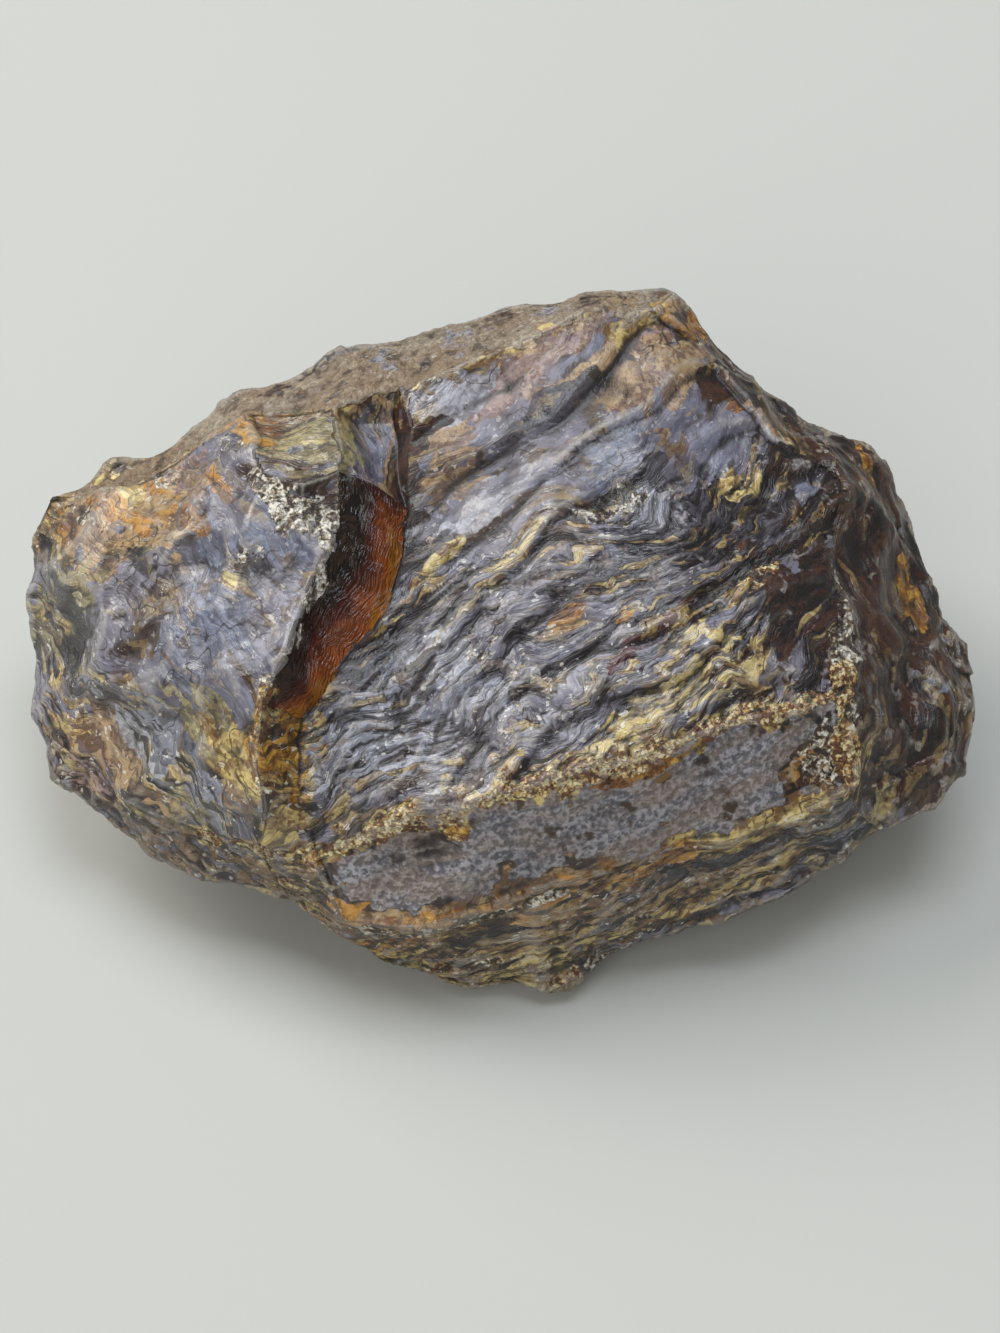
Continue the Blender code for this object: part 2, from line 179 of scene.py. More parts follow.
# Faces of each region, corner by corner, anticlockwise seen from outside.
REGIONS = {
    "crust": """r0 o3 o2, r0 r1 o4 o3, r1 r2 o5 o4, r2 r3 o6 o5, r3 r4 o7 o6, r4 r5 r6 o8 o7,
        r6 r7 o9 o8, r7 r8 o10 o9""",
    "left_block": """o1 c3 c0 r0 o2, o0 o37 c6 c3 o1, c0 c1 r1 r0, c1 b0 r2 r1, c2 b1 b0 c1,
        c4 c2 c1 c0, c4 c0 c3, b4 b3 b2 b1 c2, c5 b5 b4 c2, c5 c2 c4, c7 b7 b6 b5 c5, c7 c5 c4,
        c6 c7 c4 c3, c10 c8 c7 c6, o36 c10 c6 o37, c8 c9 b8 b7 c7, l0 l1 c8 c10, l0 c10 o36,
        l1 l2 c9 c8, l2 m0 b8 c9""",
    "left_rim": "o35 l0 o36, o34 o33 l1 l0 o35, o33 o32 l2 l1, o32 o31 m0 l2",
    "plate": "b0 b1 s1 s0 r3 r2",
    "plate_step": "b2 s1 b1, b2 b3 s0 s1",
    "notch": "v3 v2 v1 v0, n2 n1 v2 v3, n1 n0 r4 v1 v2, v0 v1 r4 r3, s0 n2 v3 v0 r3",
    "red_ledge": "b3 n2 s0, b4 q0 n1 n2 b3, b5 q1 q0 b4, b6 q2 q1 b5, b7 q3 q2 b6",
    "ledge_end": "b8 q4 q3 b7, m0 m1 q4 b8",
    "broad_face": """n0 a0 r5 r4, a0 a1 r6 r5, a1 r7 r6, a1 a2 d0 r8 r7, a2 a6 d1 d0, a6 d2 d1,
        n1 a3 a0 n0, a3 a4 a1 a0, a4 a5 a2 a1, a5 a6 a2, q0 a7 a3 n1, a7 a8 a4 a3, a8 a9 a5 a4,
        a9 a10 a6 a5, a10 d4 d3 d2 a6, q1 a11 a7 q0, q2 q3 q4 a11 q1, a11 a12 a8 a7,
        a12 a13 a9 a8, a13 a14 a10 a9, a15 d5 d4 a10, a14 a15 a10, q4 m1 m2 a11, m2 m3 a12 a11,
        m3 m4 a13 a12, m4 m5 a14 a13, m5 m6 a15 a14, m6 m7 d5 a15""",
    "grey_face": """g5 g4 m2 m1, g4 g3 m3 m2, g3 m4 m3, g3 g2 m5 m4, g2 g1 m6 m5,
        g1 g0 m7 m6""",
    "front_base": """o31 o30 g5 m1 m0, o30 o29 o28 g4 g5, o28 o27 o26 g3 g4, o26 o25 o24 g2 g3,
        o24 o23 o22 g1 g2, o22 o21 g0 g1""",
    "right_side": """d0 o11 o10 r8, d1 o12 o11 d0, d2 o13 o12 d1, d3 o14 o13 d2,
        d4 e0 o16 o15 o14 d3, e1 o17 o16 e0, d5 e1 e0 d4, m7 e2 e1 d5, e2 e3 o18 o17 e1,
        e3 j1 j0 o18, h0 e3 e2 m7, h0 o19 j1 e3, o21 o20 o19 h0, g0 o21 h0 m7""",
    "back": """o0 o1 o2 k0, o2 o3 o4 k1 k0, o4 o5 o6 k2 k1, o6 o7 o8 k3 k2, o8 o9 o10 k4 k3,
        o10 o11 o12 o13 k5 k4, o13 o14 o15 k6 k5, o15 o16 o17 k6, o17 o18 j0 k7 k6,
        j0 j1 o19 k7""",
    "underside": """u1 o36 o37 o0 k0, u1 u0 o33 o34 o35 o36, u0 w3 o31 o32 o33, w3 w2 o29 o30 o31,
        w2 w1 o28 o29, w1 w0 o27 o28, w0 w10 o25 o26 o27, w10 w9 o23 o24 o25, w9 u7 o22 o23,
        u7 k7 o19 o20 o21 o22, u7 u6 k6 k7, u6 k5 k6, u6 u5 k4 k5, u5 u4 k3 k4, u4 u3 k2 k3,
        u3 u2 k1 k2, u2 u1 k0 k1, u1 w4 w3 u0, u2 w5 w4 u1, u3 w5 u2, u4 w6 w5 u3, u5 w7 w6 u4,
        u6 w8 w7 u5, u7 w9 w8 u6""",
    "foot": "w0 w1 w2 w3 w4 w5 w6 w7 w8 w9 w10",
}

# Relief of each region in millimetres: scoops, lumps and flow steps as on the solid, then
# sheets and leaves of the flow, splinters, crumbs and grain.
SCOOPS, LUMPS, STEPS, SHEETS, LEAVES, SPLINTERS, CRUMBS, GRAIN = range(8)
ON_SOLID = 3                # how many of these columns the solid has too
RELIEF = {
    "crust": (0.5, 0.4, 0.0, 0.15, 0.08, 0.1, 0.08, 0.05),
    "left_block": (2.0, 0.25, 0.0, 0.06, 0.03, 0.14, 0.0, 0.01),
    "left_rim": (1.6, 0.4, 0.0, 0.2, 0.1, 0.3, 0.15, 0.04),
    "plate": (0.3, 0.2, 0.0, 0.12, 0.06, 0.1, 0.0, 0.01),
    "plate_step": (0.2, 0.1, 0.0, 0.0, 0.0, 0.2, 0.1, 0.03),
    "notch": (0.2, 0.1, 0.0, 0.1, 0.05, 0.05, 0.0, 0.01),
    "red_ledge": (0.5, 0.2, 0.0, 0.05, 0.02, 0.1, 0.0, 0.0),
    "ledge_end": (0.9, 0.3, 0.0, 0.15, 0.1, 0.2, 0.05, 0.03),
    "broad_face": (0.7, 0.4, 0.6, 0.3, 0.2, 0.22, 0.0, 0.01),
    "grey_face": (0.1, 0.3, 0.0, 0.06, 0.03, 0.05, 0.05, 0.04),
    "front_base": (1.4, 0.4, 0.4, 0.3, 0.16, 0.25, 0.08, 0.03),
    "right_side": (2.4, 0.3, 0.0, 0.15, 0.1, 0.3, 0.0, 0.01),
    "back": (2.4, 0.8, 0.0, 0.25, 0.15, 0.35, 0.12, 0.06),
    "underside": (2.0, 0.7, 0.0, 0.25, 0.15, 0.35, 0.12, 0.06),
    "foot": (0.0, 0.0, 0.0, 0.0, 0.0, 0.0, 0.0, 0.0),
}

# Direction that the flow layers of a region run along, as a vector, and the way across them;
# where a region has none, the directions of the top.
ALONG_TOP = (0.77, 0.64, 0.0)
ACROSS_TOP = (-0.61, 0.73, 0.33)
FLOW = {
    "crust": ((0.9, 0.35, 0.25), (-0.3, 0.9, -0.3)),
    "left_block": ((0.62, -0.72, -0.3), (0.72, 0.62, 0.3)),
    "left_rim": ((0.7, -0.6, -0.2), (0.2, 0.3, 0.9)),
    "plate": ((0.9, -0.1, 0.1), (0.1, 0.9, 0.1)),
    "notch": ((0.2, 0.9, 0.3), (0.9, 0.0, -0.4)),
    "red_ledge": ((0.4, 0.8, 0.4), (0.6, -0.4, -0.6)),
    "front_base": ((0.9, 0.25, 0.3), (-0.3, 0.1, 0.95)),
    "grey_face": ((0.9, 0.15, 0.35), (-0.3, 0.3, 0.9)),
    "right_side": ((0.1, 0.75, 0.6), (0.6, 0.5, -0.6)),
    "back": ((0.95, 0.1, 0.25), (-0.2, 0.3, 0.9)),
    "underside": ((0.9, 0.4, 0.0), (-0.3, 0.6, 0.7)),
}
# How much the flow turns along its length.
FLOW_CURVE = {"broad_face": -0.004, "ledge_end": -0.004, "plate_step": -0.004}

# Rounds of smoothing inside a region, which take out the creases of its cage.
SOFTENED = {
    "crust": 8, "left_block": 14, "left_rim": 6, "plate": 30, "notch": 8, "red_ledge": 40,
    "ledge_end": 14, "broad_face": 120, "grey_face": 60, "front_base": 20, "right_side": 12,
    "back": 40, "underside": 30,
}
ROUNDED = 3                 # rounds of smoothing everywhere, which blunt the sharp edges

# Seams along the edges of the cage, by tone: the corners passed, the half width, and for some
# how far below the edge they run.
SEAMS = {
    "tan": [
        ("r0 r1 r2 r3 r4 r5 r6 r7 r8", 2.2), ("d0 d1 d2", 0.5), ("g0 g1 g2 g3 g4 g5 m1", 1.8),
    ],
    "yellow": [
        ("m0 m1 m2 m3 m4 m5 m6 m7", 2.4), ("r3 r4 r5 r6 r7 r8", 0.8), ("l1 l2 m0", 0.9),
        ("o30 o29 o28 o27", 3.0), ("m7 g0 g1 g2", 1.4), ("b7 q3 q4", 1.6),
    ],
    "orange": [
        ("g2 g3 g4 g5 m1", 1.7, 1.5), ("r1 r2 b0", 1.6), ("r8 d0", 0.6),
    ],
    "cream": [
        ("b3 b4 b5 b6 b7", 1.2), ("b1 b2 b3", 1.1), ("m1 m2 m3 m4 m5 m6 m7", 1.3),
        ("c2 b2", 0.9), ("g3 g4 g5", 0.7, 2.0), ("d5 m7 g0", 1.0), ("d4 d5", 0.6),
        ("b7 b8", 0.8), ("l2 m0", 0.8),
    ],
    # brown: the seam r4 n0 n1 q0 is the notch's dark wall and painted shade in the gap at the
    # ledge's foot
    "brown": [
        ("r4 n0 n1 q0", 1.2),
    ],
    "golden": [
        ("g3 g4 g5 m1", 0.35), ("d1 d2", 0.35), ("m1 m2 m3 m4 m5 m6 m7", 0.35, 1.7),
        ("q3 q4", 0.7),
    ],
}

# Patches of each tone: X, Y and Z of the middle, half length along the flow, half width across.
PATCHES = {
    "pink": [
        (-3, 16, 47, 9, 5), (6, 19, 48, 10, 4), (16, 20, 47, 6, 3), (-46, -17, 19, 5, 3),
        (-45, 3, 32, 3, 2.2), (-35, 7, 39, 5, 3.5),
    ],
    "tan": [
        (-11, 8, 42, 9, 1.5), (-6, 9, 43, 4, 5), (-5, 5, 42, 3, 3), (4, -37, 11, 14, 3.4),
        (14, 17, 47, 7, 4), (17, 7, 44, 4, 1.6), (19, 18, 46, 6, 5), (22, -32, 14, 9, 2),
        (-48, 8, 31, 9, 7), (-42, -20, 21, 8, 2.6), (-40, 6, 36, 8, 5), (-39, -23, 21, 5, 1.5),
        (-35, -22, 28, 6, 2), (-33, -17, 35, 1.6, 1.4), (-31, -26, 27, 8, 4),
        (36, -25, 26, 5, 3.5), (41, 10, 36, 4, 2),
    ],
    "olive": [
        (-21, 7, 45, 7, 6), (5, -36, 6, 8, 1.6), (-51, 0, 25, 5, 6), (-36, -23, 27, 10, 3),
        (-32, -23, 31, 7, 3), (-29, -10, 41, 2.2, 1.5), (44, -25, 15, 8, 2),
    ],
    "blue": [
        (-12, -20, 31, 10, 6), (15, 5, 44, 4, 4), (-35, -23, 27, 9, 2.4), (-32, -15, 37, 6, 5),
        (-31, -5, 40, 3, 2.5), (-30, -13, 39, 4, 4), (-24, -5, 43, 5, 4), (36, 6, 39, 3.5, 3),
        (38, -27, 14, 7, 1.4), (51, -14, 22, 4, 3),
    ],
    # pale: light blue-grey patches; the one at (-5, 14, 46) is painted glints
    "pale": [
        (-14, -25, 29, 6, 3), (-14, -21, 31, 7, 2.6), (-8, -17, 33, 7, 3.4), (-5, -24, 32, 6, 2),
        (-5, 14, 46, 5, 3), (-3, 0, 41, 6, 2), (2, -20, 34, 5, 2.4), (-40, -19, 25, 6, 1.6),
    ],
    # dark: the patches at (-13, -13, 33) and (-8, -4, 38) are painted shadow beside the clear
    # ledge
    "dark": [
        (-13, -13, 33, 9, 2.2), (-8, -4, 38, 5, 2), (-5, -36, 9, 4, 0.8), (-3, -24, 33, 5, 0.5),
        (-2, -9, 38, 4, 1), (3, -14, 38, 5, 0.6), (5, -7, 40, 5, 0.6), (7, -10, 40, 1.4, 0.8),
        (7, 12, 46, 9, 1.7), (11, -10, 40, 1.2, 0.8), (13, -15, 38, 5, 0.6), (17, -5, 41, 6, 3),
        (18, 4, 43, 3, 1), (22, -2, 41, 6, 4), (24, -31, 18, 6, 1.4), (28, 0, 40, 9, 5),
        (-49, -1, 27, 4, 1.6), (-40, -2, 36, 3, 1.2), (-26, -8, 42, 3, 0.8),
        (38, 15, 37, 2.2, 1.5), (46, -13, 26, 8, 7),
    ],
    "yellow": [
        (-7, -37, 8, 4, 1.4), (-6, -4, 38, 5, 1), (-3, -37, 12, 7, 1.4), (2, -37, 5, 9, 1.8),
        (2, -5, 40, 5, 1.1), (7, -36, 8, 8, 1.6), (12, -35, 8, 4, 1.2), (16, -24, 35, 9, 2.2),
        (17, 24, 48, 6, 1.4), (20, -17, 38, 5, 1.4), (25, -32, 12, 8, 1.4),
        (26, -18, 36, 7, 3.6), (26, -10, 39, 7, 1.8), (28, 5, 40, 3, 1.8), (30, -30, 15, 5, 1),
        (-44, 10, 33, 4, 2.5), (-29, -9, 41, 1.4, 0.7), (-27, -27, 30, 5, 2.5),
        (-23, -32.5, 15, 8, 2.4), (35, 10, 40, 2.5, 1.6), (42, -23, 24, 4, 1.5),
        (47, -1, 28, 5, 1.3), (49, -12, 24, 1.6, 0.8),
    ],
    "orange": [
        (-20, -34, 11, 5, 1.5), (-18, -35, 14, 4, 2), (-12, -36, 9, 7, 2), (0, -37, 14, 5, 1.6),
        (8, -13, 39, 1.6, 1.1), (15, -13, 39, 1.4, 1.0), (23, 26, 45, 3, 1.5),
        (29, 17, 42, 3, 1), (-49, 7, 30, 3, 1.4), (-45, 9, 33, 5, 1.6), (-41, 4, 36, 3, 1),
        (-39, 9, 36.5, 4, 1.2), (-38, 3, 38, 2, 1.2), (-34, 0, 40, 3, 1), (-31, 3, 42, 3, 1.2),
        (-26, 12, 43, 2.5, 1.5), (-24, -27, 32, 3.5, 2.5), (-22.5, -22.5, 32, 2, 1.4),
        (38, -24, 28, 5, 3),
    ],
    "red": [
        (15, -17, 37, 4.5, 1), (20, -13, 38, 4, 0.9), (36, -12, 36, 4, 2.2),
        (41, -4, 33, 7, 1.6), (46, 3, 30, 8, 1.4),
    ],
    "cream": [
        (-22, -3, 44, 4, 2.5), (-20, -33.5, 16, 5, 1.2), (-10, -36, 12, 5, 1),
        (-4, -37, 6, 6, 1), (-1, -15, 36, 3, 1), (12, -35, 4, 6, 1.2), (14, 0, 43, 4, 1.8),
        (30, -7, 39, 3, 1), (-47, 8, 31, 2.5, 1), (-38, 9, 37, 2.5, 1), (-29, 8, 42, 2.5, 1),
        (38, -23, 29, 5, 2.4), (38, 13, 38, 1.5, 0.8), (39, -25, 26, 3, 1.5),
    ],
    # brown: the patch at (-10, 9, 43) is the notch's dark right wall, partly painted shade
    "brown": [
        (-10, 9, 43, 8, 1.2), (27, 19, 43, 5, 2.4), (38, 13, 38, 8, 3.5), (42, -6, 32, 16, 12),
        (45, 8, 32, 14, 10), (46, -13, 26, 6, 6), (48.5, -16, 21, 7, 5),
    ],
    "golden": [
        (-24, -26, 31, 4, 1.8), (44, 13, 34, 4, 1), (48.5, 0, 27, 5, 1.4),
    ],
}
LACY = 0.6                  # how strongly a cream patch is covered with crumbs

# Places where the layers of the broad face lie flat and smooth, given like patches, and how
# much of the relief and of the layers' edges goes there.
CALM = [
    (8, 6, 44, 14, 6.5), (1, 0, 42, 6, 4), (25, 13, 43, 11, 6.5), (-3, 2, 41, 6, 4),
    (34, -7, 38, 6, 3), (31, -17, 36, 4, 3), (5, 17, 47, 20, 5), (19, 19, 46, 7, 6),
]
CALM_RELIEF = 0.8
CALM_LAYERS = 0.75

# The clear ledge: its crest, its foot, and round spots of painted glow, as if light came through
# it.
LEDGE_CREST = "s0 b3 b4 b5 b6 b7"
LEDGE_FOOT = "n2 q0 q1 q2 q3"
GLOWING = [
    (-12.5, -9.5, 36), (-21.5, -21.5, 31), (-11, -5, 37.5), (-22.5, -22, 33), (-20, -18.5, 32.5),
]
GLOW_SPOT = 1.6             # radius of a spot
GLOW_TOP = 39               # above this height the ledge gets darker

# How much of each region is crust, has the blue-grey sheen (partly the amber's own blue bloom,
# partly painted reflection of the sky), shows the edges of its layers, is hidden from above, and
# crumbles along its yellow seams.
CRUST = {"crust": 1.0, "left_rim": 0.35, "front_base": 0.1, "back": 0.6, "underside": 0.55,
         "foot": 0.6, "right_side": 0.05}
SHEEN = {"left_block": 1.0, "broad_face": 1.0, "notch": 1.0, "front_base": 0.3, "left_rim": 0.3,
         "right_side": 0.04, "back": 0.25, "underside": 0.2, "ledge_end": 0.2}
LAYERED = {"crust": 0.25, "left_block": 0.4, "left_rim": 0.8, "plate": 0.5, "notch": 0.3,
           "ledge_end": 0.8, "broad_face": 1.0, "front_base": 1.0, "right_side": 0.4,
           "back": 0.5, "underside": 0.5}
HIDDEN = {"back": 1, "underside": 1, "foot": 1}
CRUMBLY = {"crust": 1, "left_rim": 1, "front_base": 1, "grey_face": 1}
LAYERED_BELOW = 33          # under this height the left block shows its layers fully
LAYERED_FADE = 5            # height over which they come in

# Hollows, small and large, which get painted shade: rounds of smoothing of the surface that they
# are measured from, and the depth at which the painted shade is darkest.
HOLLOWS = {"hollow": (12, 0.12), "deep": (60, 0.55)}

# Large odd numbers that stir the whole numbers of a lattice point into a random one.
STIR = [np.uint32(number) for number in (73856093, 19349663, 83492791)]
STIR_SEED = 2654435761
STIR_AGAIN = np.uint32(73244475)


def hashed(cell, seed):
    """A number from 0 to 1 for each whole-number lattice point, always the same one."""
    cell = cell.astype(np.uint32)
    mixed = cell[..., 0] * STIR[0] + cell[..., 1] * STIR[1]
    mixed += cell[..., 2] * STIR[2] + np.uint32(seed * STIR_SEED & 0xFFFFFFFF)
    for _ in range(2):
        mixed = (mixed ^ (mixed >> 16)) * STIR_AGAIN
    return ((mixed ^ (mixed >> 16)) & 0xFFFFFF) / 0xFFFFFF


def direction(cell, seed):
    """Three numbers from -1 to 1 for each lattice point."""
    return np.stack([hashed(cell, seed + axis) for axis in range(3)], -1) * 2 - 1


def noise(points, size, seed):
    """Gradient noise of wavelength size: random slopes at lattice points, smoothly joined. Size
    is one number, or one for each axis."""
    place = points / size
    cell = np.floor(place).astype(np.int64)
    inside = place - cell
    fade = inside ** 3 * (inside * (inside * 6 - 15) + 10)
    total = np.zeros(len(points))
    for corner in np.ndindex(2, 2, 2):
        step = np.array(corner)
        weight = np.where(step == 1, fade, 1 - fade).prod(-1)
        slope = direction(cell + step, seed)
        total += weight * ((inside - step) * slope).sum(-1)
    return total


def pattern(name, points, start=0.0, shift=0):
    """The noises of a pattern, each times its depth, added to start. Another shift gives
    another pattern of the same kind."""
    return sum((depth * noise(points, size, seed + shift)
                for depth, size, seed in PATTERNS[name]), start)


def wander(points, depth, size, seed):
    """How far each point moves along X, Y and Z, by one noise for each."""
    return depth * np.stack([noise(points, size, seed + 10 * axis) for axis in range(3)], -1)


def facets(place, join, seed):
    """Flat facets on a lattice of unit cells: each random centre tilts the points nearest to
    it, and where two centres are about as near, over the width join, the two tilts are mixed.
    Also a number from 0 to 1 per facet."""
    cell = np.floor(place).astype(np.int64)
    away = np.full((2, len(place)), np.inf)
    owner = np.zeros((2, len(place), 3), np.int64)
    for corner in np.ndindex(3, 3, 3):
        there = cell + np.array(corner) - 1
        centre = there + 0.5 + CENTRE_SPREAD * direction(there, seed)
        distance = np.sqrt(((place - centre) ** 2).sum(-1))
        first = distance < away[0]
        second = ~first & (distance < away[1])
        away[1] = np.where(first, away[0], np.where(second, distance, away[1]))
        owner[1] = np.where(first[:, None], owner[0], np.where(second[:, None], there, owner[1]))
        away[0] = np.where(first, distance, away[0])
        owner[0] = np.where(first[:, None], there, owner[0])
    offset = place - owner - 0.5 - CENTRE_SPREAD * direction(owner, seed)
    tilt = (offset * direction(owner, seed + 7)).sum(-1) + 0.5 * hashed(owner, seed + 17) - 0.25
    mix = np.clip((away[1] - away[0]) / join, 0, 1)
    height = tilt[0] * (0.5 + 0.5 * mix) + tilt[1] * (0.5 - 0.5 * mix)
    return height, hashed(owner[0], seed + 9)


def scoops(points, size, seed):
    """Shallow scoops that meet in sharp ridges, as broken resin has: around each random
    centre lies a bowl tilted its own way, and the lowest bowl is the surface."""
    place = points / size
    cell = np.floor(place).astype(np.int64)
    lowest = np.full(len(points), np.inf)
    for corner in np.ndindex(3, 3, 3):
        there = cell + np.array(corner) - 1
        offset = place - there - 0.5 - CENTRE_SPREAD * direction(there, seed)
        bowl = 0.8 * (offset ** 2).sum(-1) + 0.45 * (offset * direction(there, seed + 7)).sum(-1)
        lowest = np.minimum(lowest, bowl + 0.5 * hashed(there, seed + 17))
    return lowest - 0.25


def flow_steps(turn):
    """Overlapping flow layers: the height climbs at each whole number, over a fifth of the
    way, and drops slowly to the next."""
    part = turn - np.floor(turn)
    climb = np.clip(part / 0.2, 0, 1)
    drop = np.clip((1 - part) / 0.8, 0, 1)
    return np.minimum(climb, drop) - 0.5


def fading(distance, edge, fade):
    """1 near by and 0 from the edge on, falling evenly over the stretch fade before it."""
    return np.clip((edge - distance) / fade, 0, 1)


def cage_quads():
    """The cage's faces cut into quads, each from a corner by the middle of the edge after it
    and the middle of the face to the middle of the edge before it; the number of each quad's
    region; and the place of each corner by name."""
    places = {f"{chain}{i}": corner for chain, corners in CORNERS.items()
              for i, corner in enumerate(corners)}
    quads = []
    regions = []
    for number, text in enumerate(REGIONS.values()):
        for face in text.split(","):
            ring = line_through(places, face)
            after = (ring + np.roll(ring, -1, 0)) / 2
            middle = np.broadcast_to(ring.mean(0), ring.shape)
            quads.append(np.stack([ring, after, middle, np.roll(after, 1, 0)], 1))
            regions += [number] * len(ring)
    return np.concatenate(quads), np.array(regions), places


def line_through(places, path):
    """The places of the corners named in path, one after another."""
    return np.array([places[name] for name in path.split()], float)


def gridded(quads):
    """Points of every quad at (u, v): its four corners weighted by (1-u)(1-v), u(1-v), uv and
    (1-u)v, then the equal points of neighbouring quads made one; and the cells between them."""
    steps = np.linspace(0, 1, CELLS + 1)
    u, v = np.meshgrid(steps, steps, indexing="ij")
    weights = np.stack([(1 - u) * (1 - v), u * (1 - v), u * v, (1 - u) * v])
    points = np.einsum("cij,qcx->qijx", weights, quads)
    keys = np.round(points.reshape(-1, 3) * 1e4).astype(np.int64)
    _, first, index = np.unique(keys, axis=0, return_index=True, return_inverse=True)
    index = index.reshape(points.shape[:3])
    cells = np.stack(
        [index[:, :-1, :-1], index[:, 1:, :-1], index[:, 1:, 1:], index[:, :-1, 1:]], -1)
    return points.reshape(-1, 3)[first], cells.reshape(-1, 4)


def summed(cells, values, count):
    """The values of each cell added up at its four corners."""
    flat = cells.ravel()
    values = np.repeat(values, 4, 0)
    return np.stack([np.bincount(flat, values[:, i], count) for i in range(values.shape[1])], -1)


def smoothed(values, cells, rounds):
    """Moves each value halfway to its neighbours' mean, as many times as rounds says."""
    here = cells.ravel()
    order = np.argsort(here, kind="stable")
    beside = np.roll(cells, -1, 1).ravel()[order]
    degree = np.bincount(here)[:, None]
    starts = np.concatenate([[0], np.cumsum(degree)[:-1]])
    rounds = np.broadcast_to(rounds, len(values))
    for turn in range(int(rounds.max())):
        mean = np.add.reduceat(values[beside], starts) / degree
        values = np.where((rounds > turn)[:, None], 0.5 * values + 0.5 * mean, values)
    return values


def normals_of(points, cells):
    """Unit normals: the cross products of the cells' diagonals, added up at each point."""
    corner = points[cells]
    face = np.cross(corner[:, 2] - corner[:, 0], corner[:, 3] - corner[:, 1])
    total = summed(cells, face, len(points))
    return total / np.linalg.norm(total, axis=1, keepdims=True)


def hollows(points, cells, rounds):
    """How far each point lies under the smoothed surface, in millimetres."""
    normals = normals_of(points, cells)
    return ((smoothed(points, cells, rounds) - points) * normals).sum(-1)


def by_region(table):
    """One number for each region, in the order of REGIONS, 0 where the table has none."""
    return np.array([table.get(name, 0.0) for name in REGIONS], float)


def share_of(name, shares):
    """How much of each point belongs to the named region."""
    return shares[:, list(REGIONS).index(name)]


def flow_frames():
    """For each region, unit vectors along its flow layers, across them and out of them."""
    frames = []
    for name in REGIONS:
        along, across = (np.array(way) for way in FLOW.get(name, (ALONG_TOP, ACROSS_TOP)))
        along = along / np.linalg.norm(along)
        across = across - np.dot(across, along) * along
        across = across / np.linalg.norm(across)
        frames.append([along, across, np.cross(along, across)])
    return np.array(frames)


def flow_place(points, frames, curve):
    """Each point's place along, across and out of the flow layers, which bend and curl."""
    place = np.einsum("vij,vj->vi", frames, points)
    place[:, 1] += pattern("flow_bends", points, curve * place[:, 0] ** 2)
    place[:, 0] = pattern("flow_shift", points, place[:, 0])
    return place


def sheets(place, thickness, seed):
    """Flow layers of one thickness: steps across the flow that wander, and fade in and out
    along it."""
    long = (6 * thickness, 2 * thickness, 2 * thickness)
    wandering = 1.5 * noise(place, long, seed)
    shorter = (5 * thickness, 1.8 * thickness, 1.8 * thickness)
    strength = np.clip(0.5 + 1.6 * noise(place, shorter, seed + 3), 0.05, 1.2)
    return flow_steps(place[:, 1] / thickness + wandering) * strength


def chips(points, place, flowing):
    """The height of the flat chips of broken resin, and a number from 0 to 1 for each chip:
    long splinters where the flow shows, and blocky chips elsewhere."""
    height = np.zeros(len(points))
    tone = np.zeros(len(points))
    height[flowing], tone[flowing] = facets(place[flowing] / SPLINTER_SIZE, join=0.16, seed=81)
    warped = points[~flowing] + pattern("chip_warp", points[~flowing])[:, None]
    height[~flowing], tone[~flowing] = facets(warped / CHIP_SIZE, join=0.1, seed=87)
    return height, tone


def relief(points, place, depths, seam, calm):
    """Height in millimetres of everything raised on the lump at each point: each kind of
    relief times its depth in the region. Where the layers are calm the fine flow and the chips
    fade, and seams have crumbs too. Also a number from 0 to 1 for each chip."""
    bowls = scoops(points, SCOOP_SIZE, seed=11) + 0.4 * scoops(points, SMALL_SCOOP_SIZE, seed=31)
    height = depths[:, SCOOPS] * bowls + depths[:, LUMPS] * pattern("lumps", points) * 1.5
    angle = np.radians(FLOW_ANGLE)
    across = points[:, 1] * np.cos(angle) - points[:, 0] * np.sin(angle)
    height += depths[:, STEPS] * flow_steps(pattern("step_warp", points, across) / FLOW_STEP)
    splinters, tone = chips(points, place, depths[:, SHEETS] > 0.25)
    fine = depths[:, SHEETS] * sheets(place, SHEET_THICKNESS, seed=91)
    fine += depths[:, LEAVES] * sheets(place, SHEET_THICKNESS / 2, seed=97)
    height += (fine + depths[:, SPLINTERS] * splinters) * (1 - CALM_RELIEF * calm)
    crumbling = np.maximum(depths[:, CRUMBS], 0.2 * seam)
    rough = crumbling > 0.02
    crumbs, _ = facets(points[rough] / CRUMB_SIZE, join=0.3, seed=121)
    height[rough] += crumbling[rough] * pattern("crumb_grain", points[rough], crumbs)
    return height + depths[:, GRAIN] * pattern("grain", points), tone


def distance_to_line(points, corners):
    """The distance from each point to a line through the given corners."""
    best = np.full(len(points), np.inf)
    for start, end in zip(corners[:-1], corners[1:]):
        run = end - start
        share = np.clip(((points - start) @ run) / (run @ run), 0, 1)
        gap = points - start - share[:, None] * run
        best = np.minimum(best, np.sqrt((gap ** 2).sum(-1)))
    return best


def from_patch(points, frames, spot):
    """How far each point is from a patch's middle, in patch sizes. Out of the flow a patch
    reaches three times as far as across it."""
    *middle, length, width = spot
    offset = np.einsum("vij,vj->vi", frames, points - np.array(middle, float))
    return np.sqrt((offset ** 2 / (length ** 2, width ** 2, (3 * width) ** 2)).sum(-1))


